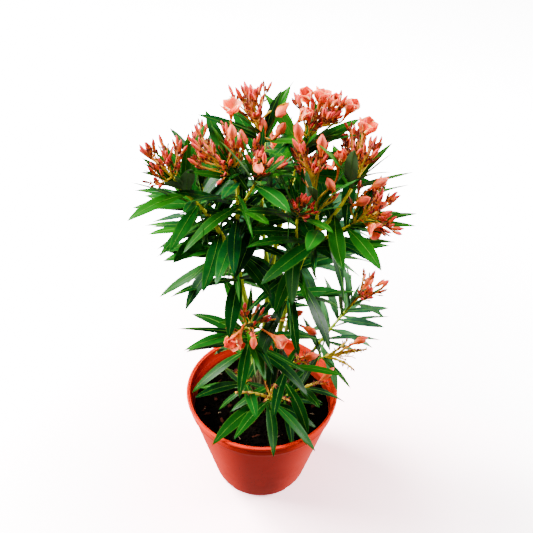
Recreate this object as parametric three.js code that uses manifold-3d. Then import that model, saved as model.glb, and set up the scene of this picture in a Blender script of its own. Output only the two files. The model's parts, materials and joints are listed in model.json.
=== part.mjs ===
// Potted oleander in flower: a nursery pot filled with soil, and several stems that carry whorled
// leaves and flower heads. Millimetres, +Z up, origin at the centre of the pot's flat underside.
// -Y is the side from which the plant is usually seen, +X is to its right.
import * as THREE from 'three';
import { mergeVertices } from 'three/addons/utils/BufferGeometryUtils.js';
import Module from 'manifold-3d';

const wasm = await Module();
wasm.setup();

const DEGREE = Math.PI / 180;
const GAP = 0.32; // clearance between neighbouring pieces
const UP = new THREE.Vector3(0, 0, 1);

const POT = {
  height: 181,
  lipRadius: 120,
  lipWidth: 6,
  lipDrop: 4, // height of the lip's outer face
  lipEdge: 0.8, // rounding of the lip
  collarRadius: 117,
  collarHeight: 17,
  collarStep: 1.8, // height of the slope that leads out to the collar
  collarTaper: 0.6,
  bodyTopRadius: 114.5,
  baseRadius: 75.8,
  wall: 2.3,
  panelRadius: 62, // flat middle of the underside
  grooveDepth: 4, // ring between the flat middle and the feet
  grooveSlope: 1,
  footWidth: 5.4,
  feet: 3,
  footSpan: 68 * DEGREE, // the front foot faces -Y
  sides: 42,
};
const FOOT_CUTTER = { steps: 6, inside: 0.6, outside: 6, below: 1 };

// The soil's top is flat in the middle and a little lower at the pot's wall
const SOIL = { top: 145, edgeDrop: 1.5, flatRadius: 62, clearance: 0.38 };

const STEM = { sides: 6, step: 45, flare: 1.35, flareHeight: 16 };
const TWIG = { sides: 4, step: 40 };
// Round a shoot where another grows on it, as shares of its length before and after that place
const CLEARANCE = { sides: 12, steps: 6, before: 0.12, after: 0.2 };

// Leaf sizes, as shares of its length unless they say otherwise
const LEAF = {
  perWhorl: 3,
  whorlTurn: 60, // degrees from one whorl to the next
  lowestWhorl: 0.06, // of the shoot, above its bare part
  lowestInside: 0.45, // of a shoot without a bare part
  crowding: 0.85, // below 1 the whorls stand closer towards the tip
  halfWidth: 0.096,
  highestBase: 0.995, // of the shoot, so that the youngest leaves start inside it
  keel: 0.016, // thickness at the midrib
  petiole: 1.3, // half width in millimetres where it leaves the stem
  stations: [0.34, 0.72],
  shares: [1, 0.72], // of the half width at the stations
  topShare: 0.9, // length of the youngest leaves against the others
  // What chance adds or multiplies: degrees of turn, lean and roll, and shares of the rest
  turn: [-12, 12],
  lean: [-9, 9],
  roll: [-22, 22],
  length: [0.86, 1.08],
  width: [0.9, 1.1],
  sag: [0.6, 1.5],
  sagShares: [1.25, 0.75], // at the lowest and the highest whorl
};
// Other places that a leaf tries when its first one touches a neighbour: [turn, lean] in degrees
const LEAF_TRIES = [[0, 0], [14, 0], [-14, 0], [0, 12], [0, -12], [26, 0], [-26, 0], [16, 14], [-16, 14]];

// Half-open flowers and furled buds: length, and the shares of it at which they are widest and end
const BLOOM = { sides: 4, length: 27, share: 0.28, widest: 0.9, tip: 0.98, rayShare: 0.72 };
const BUD = { sides: 3, share: 0.15, widest: 0.5, tip: 1, lead: 20, side: 15 };
const BUD_SIZES = [0.8, 1.15]; // range of chance
const RAY = {
  neck: 6,
  radius: 1.2,
  turn: [-20, 20], // degrees
  lean: [0.55, 1.15], // of the head's width
  middleLean: 0.25, // share of its lean that the first ray keeps
  length: [0.5, 0.7], // of the head's reach
  lift: 0.12, // how far buds bend up
};
const HUB = { neck: 4, neckRadius: 1.5, radius: 2.6, tip: 3 };
// Side buds on a ray: place along it, turn about it and lean from it in degrees
const SIDE_BUDS = [{ share: 0.78, turn: 36, lean: 40 }];
const SIDE_BUD_TURN = [-30, 30];
const SIDE_BUD_LEAN = [-12, 12];
const RAY_KEY = 50; // keeps the chances of rays apart from those of whorls
const BUD_KEY = 10;

// Main stems and their side shoots. A shoot runs from its foot, or from the share `at` of the shoot
// that it grows `on`, over `via` to `tip`. Below the share `bare` it carries no leaves and is a limb
// of its own. Radii are at the foot and the tip. `spread` is how far the leaves lean from the shoot,
// in degrees, at its lowest and its highest whorl. `sag` is how far a leaf arches down, in degrees.
const SHOOTS = [
  {
    name: 'left', foot: [-14, 8], via: [-10, -6, 470], tip: [-101, -30, 573], bare: 0.46,
    radii: [5, 2.3], whorls: 6, turn: 88, leaf: 98, spread: [100, 55], sag: 28,
    head: { axis: [-0.5, -0.05, 0.85], stalk: 30, rays: 6, reach: 54, blooms: 0, width: 58, turn: 15 },
  },
  {
    name: 'centre_left', on: 'left', at: 0.5, via: [-38, -22, 490], tip: [-36, -38, 598], bare: 0.3,
    radii: [3.1, 2.1], whorls: 4, turn: 8, leaf: 104, spread: [95, 45], sag: 28,
    head: { axis: [-0.6, -0.02, 0.8], stalk: 14, rays: 7, reach: 66, blooms: 3, width: 55, turn: 30 },
  },
  {
    name: 'front_top', inside: 'centre_left', at: 0.72, via: [-30, -46, 572], tip: [-15, -58, 608],
    radii: [2.1, 1.7], whorls: 2, turn: 48, leaf: 96, spread: [85, 50], sag: 28,
    head: { axis: [0.25, -0.1, 0.95], stalk: 12, rays: 4, reach: 44, blooms: 1, width: 55, turn: 0 },
  },
  {
    name: 'centre', foot: [2, 14], via: [-8, 18, 420], tip: [43, -8, 628], bare: 0.5,
    radii: [5.2, 2.3], whorls: 5, turn: 88, leaf: 104, spread: [70, 52], sag: 32,
    head: { axis: [0.4, 0.2, 0.9], stalk: 26, rays: 7, reach: 54, blooms: 5, width: 52, turn: 10 },
  },
  {
    name: 'top', on: 'centre', at: 0.5, via: [-14, 24, 520], tip: [-5, 14, 625], bare: 0.4,
    radii: [3, 2.1], whorls: 4, turn: 72, leaf: 106, spread: [88, 48], sag: 22,
    head: { axis: [-0.35, 0.05, 0.94], stalk: 22, rays: 7, reach: 62, blooms: 2, width: 40, turn: 40 },
  },
  {
    name: 'right', foot: [14, 2], via: [20, -2, 390], tip: [66, -60, 546], bare: 0.5,
    radii: [5, 2.4], whorls: 5, turn: 72, leaf: 108, spread: [100, 50], sag: 34,
    head: { axis: [-0.15, 0.12, 0.97], stalk: 70, rays: 5, reach: 48, blooms: 2, width: 58, turn: 20 },
  },
  {
    name: 'right_high', on: 'right', at: 0.96, via: [88, -60, 572], tip: [102, -46, 598], bare: 0.4,
    radii: [2.3, 2], whorls: 2, turn: 104, leaf: 92, spread: [90, 50], sag: 12,
    head: { axis: [0.15, 0.3, 0.94], stalk: 14, rays: 7, reach: 74, blooms: 3, width: 42, turn: 20 },
  },
  {
    name: 'right_low', on: 'right', at: 0.88, via: [80, -70, 545], tip: [98, -68, 556], bare: 0.4,
    radii: [2.3, 2], whorls: 2, turn: 32, leaf: 104, spread: [90, 65], sag: 26,
    head: { axis: [0.85, 0.1, 0.5], stalk: 24, rays: 6, reach: 58, blooms: 3, width: 60, turn: 0 },
  },
  {
    name: 'inner', inside: 'right', at: 0.8, via: [36, -52, 520], tip: [38, -66, 566],
    radii: [1.9, 1.6], whorls: 2, turn: 72, leaf: 90, spread: [85, 50], sag: 28,
    head: { axis: [0, -0.3, 0.9], stalk: 8, rays: 3, reach: 20, blooms: 0, width: 50, turn: 0 },
  },
  {
    name: 'low_right', foot: [26, 16], via: [90, 50, 240], tip: [127, 70, 286], bare: 0.5,
    radii: [3.2, 1.9], whorls: 4, turn: 112, leaf: 80, spread: [95, 40], sag: 20,
    head: { axis: [0.55, 0.05, 0.85], stalk: 34, rays: 6, reach: 56, blooms: 2, width: 45, turn: 0 },
  },
  {
    name: 'low_side', on: 'low_right', at: 0.35, via: [72, 22, 212], tip: [92, 24, 230], bare: 0.5,
    radii: [2.2, 1.7], whorls: 1, turn: 96, leaf: 70, spread: [80, 70], sag: 28,
    head: { axis: [0.95, 0.05, 0.25], stalk: 18, rays: 4, reach: 56, blooms: 1, width: 40, turn: 0 },
  },
  {
    name: 'low_front', foot: [-4, -8], via: [-14, -20, 270], tip: [-22, -45, 350], bare: 0.5,
    radii: [3.4, 2], whorls: 4, turn: 80, leaf: 106, spread: [95, 70], sag: 40,
    head: { axis: [0.05, -0.25, 0.95], stalk: 14, rays: 6, reach: 52, blooms: 4, width: 75, turn: 0 },
  },
  {
    name: 'low_middle', foot: [28, -9], via: [30, -22, 220], tip: [38, -35, 270], bare: 0.55,
    radii: [3, 1.9], whorls: 2, turn: 8, leaf: 96, spread: [90, 72], sag: 34,
    head: { axis: [0.7, -0.1, 0.7], stalk: 20, rays: 3, reach: 30, blooms: 2, width: 50, turn: 0 },
  },
  {
    name: 'front_right', foot: [14, -22], via: [32, -26, 192], tip: [58, -30, 216], bare: 0.45,
    radii: [2.8, 1.8], whorls: 2, turn: 0, leaf: 86, spread: [68, 45], sag: 32,
    head: { axis: [0.9, 0.1, 0.4], stalk: 26, rays: 2, reach: 34, blooms: 1, width: 25, turn: 0 },
  },
  {
    name: 'front', foot: [2, -18], via: [2, -38, 200], tip: [12, -58, 221], bare: 0.5,
    radii: [3.2, 2.2], whorls: 3, turn: 40, leaf: 106, spread: [62, 60], sag: 34,
    head: { axis: [0, -0.1, 0.95], stalk: 10, rays: 5, reach: 34, blooms: 0, width: 75, turn: 0 },
  },
  {
    name: 'front_left', foot: [-15, -12], via: [-17, -30, 205], tip: [-24, -45, 241], bare: 0.55,
    radii: [3, 1.9], whorls: 2, turn: 56, leaf: 104, spread: [105, 42], sag: 30,
    head: { axis: [-0.3, 0, 0.95], stalk: 8, rays: 3, reach: 26, blooms: 0, width: 65, turn: 0 },
  },
  {
    name: 'back_left', foot: [-13, 24], via: [-40, 44, 420], tip: [-88, 36, 532], bare: 0.55,
    radii: [3.8, 2], whorls: 4, turn: 0, leaf: 104, spread: [62, 30], sag: 24,
    head: { axis: [0.05, 0, 1], stalk: 40, rays: 5, reach: 54, blooms: 0, width: 50, turn: 0 },
  },
  {
    name: 'back', foot: [1, 29], via: [4, 80, 400], tip: [14, 98, 515], bare: 0.55,
    radii: [3.6, 2], whorls: 4, turn: 8, leaf: 108, spread: [86, 50], sag: 28,
    head: { axis: [0, 0.3, 0.9], stalk: 18, rays: 5, reach: 44, blooms: 1, width: 52, turn: 0 },
  },
  {
    name: 'back_right', foot: [16, 24], via: [50, 60, 370], tip: [78, 78, 492], bare: 0.55,
    radii: [3.6, 2], whorls: 4, turn: 0, leaf: 102, spread: [95, 40], sag: 34,
    head: { axis: [0.3, 0.3, 0.9], stalk: 18, rays: 5, reach: 44, blooms: 1, width: 52, turn: 0 },
  },
  {
    name: 'low_back', foot: [-8, 40], via: [-4, 84, 220], tip: [6, 114, 285], bare: 0.5,
    radii: [3, 1.9], whorls: 3, turn: 32, leaf: 98, spread: [112, 60], sag: 28,
  },
];

// Repeatable random share between 0 and 1 for a list of whole numbers
function chance(...keys) {
  let mixed = 2166136261;
  for (const key of keys) {
    mixed = Math.imul(mixed ^ key, 16777619) >>> 0;
    mixed = (mixed ^ (mixed >>> 13)) >>> 0;
  }
  mixed = Math.imul(mixed ^ (mixed >>> 16), 0x45d9f3b) >>> 0;
  mixed = (mixed ^ (mixed >>> 15)) >>> 0;
  mixed = Math.imul(mixed, 0x2c1b3c6d) >>> 0;
  return ((mixed ^ (mixed >>> 16)) >>> 0) / 2 ** 32;
}

function between(low, high, ...keys) {
  return low + (high - low) * chance(...keys);
}

function mix(a, b, t) {
  return a + (b - a) * t;
}

function vector(list) {
  return new THREE.Vector3(...list);
}

// Closed mesh from a list of points and a list of triangles, as a solid
function solid(points, triangles) {
  const vertProperties = new Float32Array(points.flatMap((p) => [p.x, p.y, p.z]));
  const triVerts = new Uint32Array(triangles.flat());
  return new wasm.Manifold(new wasm.Mesh({ numProp: 3, vertProperties, triVerts }));
}

// Rings of points in travel order, counterclockwise seen from ahead, closed at both ends.
// A ring of one point closes the solid to a tip.
function loft(rings) {
  const points = rings.flat();
  const triangles = [];
  let first = 0;
  for (let k = 0; k < rings.length - 1; k += 1) {
    const near = rings[k].length;
    const far = rings[k + 1].length;
    const sides = Math.max(near, far);
    for (let i = 0; i < sides; i += 1) {
      const next = (i + 1) % sides;
      if (near > 1) {
        const ahead = far > 1 ? first + near + next : first + near;
        triangles.push([first + i, first + next, ahead]);
      }
      if (far > 1) {
        const behind = near > 1 ? first + i : first;
        triangles.push([behind, first + near + next, first + near + i]);
      }
    }
    first += near;
  }
  const last = points.length - rings.at(-1).length;
  for (let i = 1; i < rings[0].length - 1; i += 1) triangles.push([0, i + 1, i]);
  for (let i = 1; i < rings.at(-1).length - 1; i += 1) triangles.push([last, last + i, last + i + 1]);
  return solid(points, triangles);
}

// Two unit vectors square to a direction, the first one level
function sideways(direction) {
  const level = new THREE.Vector3().crossVectors(direction, new THREE.Vector3(0, 1, 0));
  if (Math.abs(direction.y) >= 0.9) level.crossVectors(direction, new THREE.Vector3(1, 0, 0));
  level.normalize();
  return [level, new THREE.Vector3().crossVectors(direction, level)];
}

function around(direction, turn) {
  const [a, b] = sideways(direction);
  return a.multiplyScalar(Math.cos(turn)).addScaledVector(b, Math.sin(turn));
}

// Direction that leans from an axis by `lean`, towards `turn` about it
function leaning(axis, lean, turn) {
  return axis.clone().multiplyScalar(Math.cos(lean)).addScaledVector(around(axis, turn), Math.sin(lean));
}

// Tube through stations that each give a centre, a direction and a radius. Its sides keep the same
// turn about the path all along, and it ends flat, or in a point where a tip is given.
function tube(stations, sides, tip = null) {
  let side = null;
  const rings = stations.map(({ centre, direction, radius }) => {
    if (side === null) side = sideways(direction)[0];
    side.addScaledVector(direction, -side.dot(direction)).normalize();
    const other = new THREE.Vector3().crossVectors(direction, side);
    return Array.from({ length: sides }, (_, i) => {
      const turn = (2 * Math.PI * i) / sides;
      const point = centre.clone().addScaledVector(side, radius * Math.cos(turn));
      return point.addScaledVector(other, radius * Math.sin(turn));
    });
  });
  if (tip) rings.push([tip]);
  return loft(rings);
}

// Stations along a shoot between two shares of its length. A stem's foot is cut level.
function stationsAlong(shoot, from, to, steps) {
  return Array.from({ length: steps + 1 }, (_, k) => {
    const t = mix(from, to, k / steps);
    const direction = t === 0 && !shoot.parent ? UP.clone() : shoot.heading(t);
    return { centre: shoot.place(t), direction, radius: shoot.radiusAt(t) };
  });
}

// Path, radius and name of each shoot, with the shoots that it grows on
const shoots = new Map();
SHOOTS.forEach((row, index) => {
  const parent = shoots.get(row.on ?? row.inside);
  const start = parent ? parent.place(row.at) : new THREE.Vector3(...row.foot, SOIL.top + GAP);
  const via = vector(row.via);
  const tip = vector(row.tip);
  const curve = new THREE.QuadraticBezierCurve3(start, via, tip);
  const shoot = { ...row, id: index + 1, parent, tip, length: curve.getLength() };
  shoot.bare = row.bare ?? 0;
  shoot.place = (t) => {
    const a = (1 - t) ** 2;
    const b = 2 * t * (1 - t);
    return new THREE.Vector3().addScaledVector(start, a).addScaledVector(via, b).addScaledVector(tip, t * t);
  };
  shoot.heading = (t) => {
    const d = via.clone().sub(start).multiplyScalar(1 - t);
    return d.addScaledVector(tip.clone().sub(via), t).normalize();
  };
  shoot.radiusAt = (t) => {
    const plain = mix(row.radii[0], row.radii[1], Math.min(1, Math.max(0, t)));
    const rise = (t * shoot.length) / STEM.flareHeight;
    return parent ? plain : plain * (1 + (STEM.flare - 1) * Math.max(0, 1 - rise) ** 2);
  };
  shoots.set(row.name, shoot);
});

// Share of the shoot at which each whorl of leaves stands, lowest first
function whorlPlaces(shoot) {
  const lowest = shoot.bare > 0 ? shoot.bare + LEAF.lowestWhorl : LEAF.lowestInside;
  if (shoot.whorls === 1) return [1];
  const share = (k) => (k / (shoot.whorls - 1)) ** LEAF.crowding;
  return Array.from({ length: shoot.whorls }, (_, k) => mix(lowest, 1, share(k)));
}

// Leaf blade: a midrib that arches down, with a flat face above and a keel below. `extra` swells it
// on all sides, which tests whether it keeps clear of its neighbours.
function leafSolid(shoot, whorl, place, j, attempt, extra) {
  const keys = [shoot.id, whorl, j];
  const height = shoot.whorls > 1 ? whorl / (shoot.whorls - 1) : 1;
  const isYoungest = height === 1 && shoot.whorls > 1;
  const axis = shoot.heading(place);
  const base = shoot.place(Math.min(place, LEAF.highestBase));
  const phase = shoot.turn + LEAF.whorlTurn * whorl + (360 / LEAF.perWhorl) * j;
  const turn = phase + between(...LEAF.turn, ...keys, 1) + attempt[0];
  const lean = mix(...shoot.spread, height) + between(...LEAF.lean, ...keys, 2) + attempt[1];
  const direction = leaning(axis, lean * DEGREE, turn * DEGREE);
  const length = shoot.leaf * between(...LEAF.length, ...keys, 3) * (isYoungest ? LEAF.topShare : 1);
  const half = length * LEAF.halfWidth * between(...LEAF.width, ...keys, 4);
  const sag = shoot.sag * DEGREE * between(...LEAF.sag, ...keys, 5) * mix(...LEAF.sagShares, height);
  const roll = between(...LEAF.roll, ...keys, 6) * DEGREE;
  const rise = Math.asin(Math.max(-1, Math.min(1, direction.z)));
  const level = new THREE.Vector3(direction.x, direction.y, 0).normalize();
  const across = new THREE.Vector3().crossVectors(UP, level);
  const along = (t) => {
    const out = (Math.sin(rise) - Math.sin(rise - sag * t)) * (length / sag);
    const up = (Math.cos(rise - sag * t) - Math.cos(rise)) * (length / sag);
    return base.clone().addScaledVector(level, out).addScaledVector(UP, up);
  };
  const section = (t, width, keel) => {
    const slope = rise - sag * t;
    const normal = level.clone().multiplyScalar(-Math.sin(slope)).addScaledVector(UP, Math.cos(slope));
    const edge = across.clone().multiplyScalar(Math.cos(roll)).addScaledVector(normal, Math.sin(roll));
    normal.multiplyScalar(Math.cos(roll)).addScaledVector(across, -Math.sin(roll));
    const middle = along(t);
    return [
      middle.clone().addScaledVector(edge, -width - extra).addScaledVector(normal, extra),
      middle.clone().addScaledVector(normal, -keel - 2 * extra),
      middle.clone().addScaledVector(edge, width + extra).addScaledVector(normal, extra),
    ];
  };
  const keel = length * LEAF.keel;
  const rings = [section(0, LEAF.petiole, keel)];
  LEAF.stations.forEach((t, k) => rings.push(section(t, half * LEAF.shares[k], keel)));
  rings.push([along(1 + extra / length)]);
  return loft(rings);
}

// Ring of points round a direction
function ringRound(centre, direction, radius, sides) {
  const points = [];
  for (let i = 0; i < sides; i += 1) {
    points.push(centre.clone().addScaledVector(around(direction, (2 * Math.PI * i) / sides), radius));
  }
  return points;
}

// Furled bud from a root along a direction
function budSolid(root, direction, length) {
  const middle = root.clone().addScaledVector(direction, length * BUD.widest);
  const tip = root.clone().addScaledVector(direction, length);
  return loft([[root], ringRound(middle, direction, length * BUD.share, BUD.sides), [tip]]);
}

// Ray of a flower head that starts as a point inside the hub and ends in its leading bud or flower
function raySolid(from, to, direction, isOpen, size) {
  const form = isOpen ? BLOOM : BUD;
  const length = isOpen ? BLOOM.length : size;
  const along = to.clone().sub(from).normalize();
  const at = (share) => to.clone().addScaledVector(direction, length * share);
  const neck = from.clone().addScaledVector(along, RAY.neck);
  return loft([
    [from],
    ringRound(neck, along, RAY.radius, form.sides),
    ringRound(to, direction, RAY.radius, form.sides),
    ringRound(at(form.widest), direction, length * form.share, form.sides),
    [at(form.tip)],
  ]);
}

// Rays of a shoot's flower head, each with its leading bud or flower, and their side buds
function headParts(shoot) {
  const { axis: list, stalk, rays, reach, blooms, width, turn } = shoot.head;
  const axis = vector(list).normalize();
  const hub = shoot.tip.clone().addScaledVector(axis, stalk);
  const parts = [];
  for (let i = 0; i < rays; i += 1) {
    const keys = [shoot.id, RAY_KEY + i];
    const rayTurn = (360 * i) / rays + turn + between(...RAY.turn, ...keys, 1);
    const rayLean = width * between(...RAY.lean, ...keys, 2) * (i === 0 ? RAY.middleLean : 1);
    const ray = leaning(axis, rayLean * DEGREE, rayTurn * DEGREE).normalize();
    const isOpen = i > 0 && i <= blooms;
    const length = reach * between(...RAY.length, ...keys, 3) * (isOpen ? BLOOM.rayShare : 1);
    const end = hub.clone().addScaledVector(ray, length);
    const lead = ray.clone().addScaledVector(UP, RAY.lift).normalize();
    const size = BUD.lead * between(...BUD_SIZES, ...keys, 4);
    parts.push({ ray: i, body: raySolid(hub, end, lead, isOpen, size) });
    SIDE_BUDS.forEach((place, b) => {
      const bud = [...keys, BUD_KEY + b];
      const root = hub.clone().addScaledVector(ray, length * place.share);
      const budTurn = place.turn + between(...SIDE_BUD_TURN, ...bud, 1);
      const budLean = place.lean + between(...SIDE_BUD_LEAN, ...bud, 2);
      const direction = leaning(ray, budLean * DEGREE, budTurn * DEGREE);
      direction.addScaledVector(UP, RAY.lift).normalize();
      const budSize = BUD.side * between(...BUD_SIZES, ...bud, 3);
      parts.push({ ray: i, isSide: true, body: budSolid(root, direction, budSize) });
    });
  }
  return parts;
}

// True where two solids share any volume
function touches(a, b) {
  const boxA = a.boundingBox();
  const boxB = b.boundingBox();
  const apart = [0, 1, 2].some((i) => boxA.min[i] > boxB.max[i] || boxB.min[i] > boxA.max[i]);
  return !apart && !a.intersect(b).isEmpty();
}

// The largest closed shell of a solid: sealed hollows are filled and loose scraps are dropped
function outerShell(manifold) {
  const { vertProperties, triVerts, numProp } = manifold.getMesh();
  const point = (i) => vector(vertProperties.slice(i * numProp, i * numProp + 3));
  const points = Array.from({ length: vertProperties.length / numProp }, (_, i) => point(i));
  const leader = points.map((_, i) => i);
  const find = (i) => {
    let at = i;
    while (leader[at] !== at) at = leader[at] = leader[leader[at]];
    return at;
  };
  const triangles = [];
  for (let i = 0; i < triVerts.length; i += 3) triangles.push([...triVerts.slice(i, i + 3)]);
  for (const [a, b, c] of triangles) {
    leader[find(a)] = find(b);
    leader[find(b)] = find(c);
  }
  const volumes = new Map();
  for (const [a, b, c] of triangles) {
    const volume = points[a].dot(new THREE.Vector3().crossVectors(points[b], points[c])) / 6;
    volumes.set(find(a), (volumes.get(find(a)) ?? 0) + volume);
  }
  if (volumes.size === 1) return manifold;
  const [largest] = [...volumes].reduce((best, next) => (next[1] > best[1] ? next : best));
  return solid(points, triangles.filter(([a]) => find(a) === largest));
}

const group = new THREE.Group();

// Adds a solid to the plant as a named mesh
function addMesh(name, manifold, material) {
  const { vertProperties, triVerts, numProp } = manifold.getMesh();
  const positions = new Float32Array((vertProperties.length / numProp) * 3);
  for (let i = 0; i < positions.length / 3; i += 1) {
    for (let axis = 0; axis < 3; axis += 1) positions[i * 3 + axis] = vertProperties[i * numProp + axis];
  }
  const geometry = new THREE.BufferGeometry();
  geometry.setAttribute('position', new THREE.BufferAttribute(positions, 3));
  geometry.setIndex(Array.from(triVerts));
  geometry.computeVertexNormals();
  const mesh = new THREE.Mesh(geometry, material);
  mesh.name = name;
  group.add(mesh);
}

// Solid of revolution about the vertical axis through the origin
function lathe(profile, sides) {
  const geometry = new THREE.LatheGeometry(profile.map(([r, z]) => new THREE.Vector2(r, z)), sides);
  geometry.rotateX(Math.PI / 2);
  geometry.deleteAttribute('normal');
  geometry.deleteAttribute('uv');
  const merged = mergeVertices(geometry, 1e-4);
  const { array } = merged.getAttribute('position');
  const triangles = [];
  const index = merged.getIndex().array;
  for (let i = 0; i < index.length; i += 3) {
    const [a, b, c] = [index[i], index[i + 1], index[i + 2]];
    if (a !== b && b !== c && a !== c) triangles.push([a, b, c]);
  }
  const points = Array.from({ length: array.length / 3 }, (_, i) => vector(array.slice(i * 3, i * 3 + 3)));
  return solid(points, triangles);
}

// Nursery pot: tapered wall, upright collar, rolled lip, flat panel and three feet underneath
function makePot() {
  const { height, lipRadius, lipDrop, lipEdge, collarRadius, collarStep, collarTaper } = POT;
  const { bodyTopRadius, baseRadius, wall, panelRadius, grooveDepth, grooveSlope, footWidth } = POT;
  const lipFoot = height - lipDrop;
  const collarFoot = lipFoot - POT.collarHeight;
  const floorTop = grooveDepth + wall;
  const innerLip = lipRadius - POT.lipWidth;
  const profile = [
    [0, 0],
    [panelRadius, 0],
    [panelRadius + grooveSlope, grooveDepth],
    [baseRadius - footWidth - grooveSlope, grooveDepth],
    [baseRadius - footWidth, 0],
    [baseRadius, 0],
    [bodyTopRadius, collarFoot],
    [collarRadius - collarTaper, collarFoot + collarStep],
    [collarRadius, lipFoot],
    [lipRadius - lipEdge, lipFoot],
    [lipRadius, lipFoot + lipEdge],
    [lipRadius, height - lipEdge],
    [lipRadius - lipEdge, height],
    [innerLip + lipEdge, height],
    [innerLip, height - lipEdge],
    [collarRadius - wall - collarTaper, collarFoot + collarStep],
    [bodyTopRadius - wall, collarFoot],
    [wallRadius(floorTop) - wall, floorTop],
    [0, floorTop],
  ];
  let pot = lathe(profile, POT.sides);
  const span = (2 * Math.PI) / POT.feet - POT.footSpan;
  for (let k = 0; k < POT.feet; k += 1) {
    const middle = -Math.PI / 2 + Math.PI / POT.feet + (2 * Math.PI * k) / POT.feet;
    pot = pot.subtract(footCutter(middle, span));
  }
  return pot;
}

// Radius of the pot's tapered outer wall at a height
function wallRadius(z) {
  const collarFoot = POT.height - POT.lipDrop - POT.collarHeight;
  return mix(POT.baseRadius, POT.bodyTopRadius, z / collarFoot);
}

// Block that cuts the space between two feet out of the pot's bottom edge
function footCutter(middle, span) {
  const { steps, inside, outside, below } = FOOT_CUTTER;
  const inner = POT.baseRadius - POT.footWidth - inside;
  const outer = POT.baseRadius + outside;
  const corner = (radius, turn, z) => new THREE.Vector3(radius * Math.cos(turn), radius * Math.sin(turn), z);
  const rings = [];
  for (let k = 0; k <= steps; k += 1) {
    const turn = middle + span * (k / steps - 0.5);
    rings.push([
      corner(inner, turn, -below),
      corner(inner, turn, POT.grooveDepth),
      corner(outer, turn, POT.grooveDepth),
      corner(outer, turn, -below),
    ]);
  }
  return loft(rings);
}

// Soil that fills the pot to a little below its lip, clear of the wall
function makeSoil() {
  const floor = POT.grooveDepth + POT.wall + GAP;
  const inside = (z) => wallRadius(z) - POT.wall - SOIL.clearance;
  const edge = SOIL.top - SOIL.edgeDrop;
  const profile = [
    [0, floor],
    [inside(floor), floor],
    [inside(edge), edge],
    [SOIL.flatRadius, SOIL.top],
    [0, SOIL.top],
  ];
  return lathe(profile, POT.sides);
}

// Twig that carries a shoot's leaves, with the stalk and the hub of its flower head
function leafyTwig(shoot, from) {
  const steps = Math.max(2, Math.round((shoot.length * (1 - from)) / TWIG.step));
  const stations = stationsAlong(shoot, from, 1, steps);
  if (!shoot.head) return tube(stations, TWIG.sides);
  const direction = vector(shoot.head.axis).normalize();
  const at = (distance) => shoot.tip.clone().addScaledVector(direction, distance);
  const { stalk } = shoot.head;
  stations.push({ centre: at(stalk - HUB.neck), direction, radius: HUB.neckRadius });
  stations.push({ centre: at(stalk), direction, radius: HUB.radius });
  return tube(stations, TWIG.sides, at(stalk + HUB.tip));
}

// Space that a side shoot leaves free round the shoot that it grows on
function clearanceRound(shoot, at) {
  const { sides, steps, before, after } = CLEARANCE;
  const from = Math.max(0, at - before);
  const to = Math.min(1 + GAP / shoot.length, at + after);
  const stations = stationsAlong(shoot, from, to, steps);
  for (const station of stations) station.radius = (station.radius + GAP) / Math.cos(Math.PI / sides);
  return tube(stations, sides);
}

const materials = {
  pot: new THREE.MeshStandardMaterial({ color: 0xc8432c, roughness: 0.42, metalness: 0 }),
  soil: new THREE.MeshStandardMaterial({ color: 0x231a14, roughness: 1, metalness: 0 }),
  stem: new THREE.MeshStandardMaterial({ color: 0x7f8a3c, roughness: 0.7, metalness: 0 }),
  foliage: new THREE.MeshStandardMaterial({ color: 0x1f5a26, roughness: 0.5, metalness: 0 }),
};

const pot = makePot();
const soil = makeSoil();

// Bare limbs, and the twig that carries on from each inside its mass of foliage
const limbs = [];
const masses = [];
for (const shoot of shoots.values()) {
  const split = GAP / shoot.length;
  const from = shoot.bare > 0 ? shoot.bare + split / 2 : 0;
  const twigPart = leafyTwig(shoot, from);
  if (shoot.inside) {
    masses.find((mass) => mass.name === shoot.inside).members.push({ shoot, twig: twigPart });
    continue;
  }
  const steps = Math.max(2, Math.round((shoot.length * shoot.bare) / STEM.step));
  let bough = tube(stationsAlong(shoot, 0, shoot.bare - split / 2, steps), STEM.sides);
  if (shoot.parent) bough = bough.subtract(clearanceRound(shoot.parent, shoot.at));
  limbs.push({ name: `${shoot.parent ? 'bough' : 'stem'}_${shoot.name}`, body: bough });
  masses.push({ name: shoot.name, members: [{ shoot, twig: twigPart }], body: null });
}

const fixtures = [{ body: pot }, { body: soil }, ...limbs];
const obstacles = (mass) => [...fixtures, ...masses.filter((other) => other !== mass)];
const isClear = (body, mass) => !obstacles(mass).some((other) => touches(body, other.body));

for (const mass of masses) {
  mass.body = mass.members.map((member) => member.twig).reduce((sum, next) => sum.add(next));
}

// Wood and flowers come first, then leaves, so that a leaf gives way to them
for (const mass of masses) {
  for (const { shoot } of mass.members) {
    if (!shoot.head) continue;
    const lostRays = new Set();
    for (const { ray, isSide, body } of headParts(shoot)) {
      if (lostRays.has(ray)) continue;
      if (isClear(body, mass)) mass.body = mass.body.add(body);
      else if (!isSide) lostRays.add(ray);
    }
  }
}

for (const mass of masses) {
  for (const { shoot } of mass.members) {
    whorlPlaces(shoot).forEach((place, whorl) => {
      for (let j = 0; j < LEAF.perWhorl; j += 1) {
        const isFree = (choice) => isClear(leafSolid(shoot, whorl, place, j, choice, GAP), mass);
        const attempt = LEAF_TRIES.find(isFree);
        if (attempt) mass.body = mass.body.add(leafSolid(shoot, whorl, place, j, attempt, 0));
      }
    });
  }
}

addMesh('pot', pot, materials.pot);
addMesh('soil', soil, materials.soil);
for (const { name, body } of limbs) addMesh(name, body, materials.stem);
for (const { name, body } of masses) addMesh(`foliage_${name}`, outerShell(body), materials.foliage);

export default group;
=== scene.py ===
# Potted oleander in flower: an orange-red nursery pot, dark soil with bark chips, several green
# stems, whorls of narrow leathery leaves, and heads of salmon-pink flowers and buds.
# The growth rule works in millimetres, and meshes are made in metres. +Z is up, and -Y is the side
# from which the plant is usually seen.
import json
import math

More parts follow.
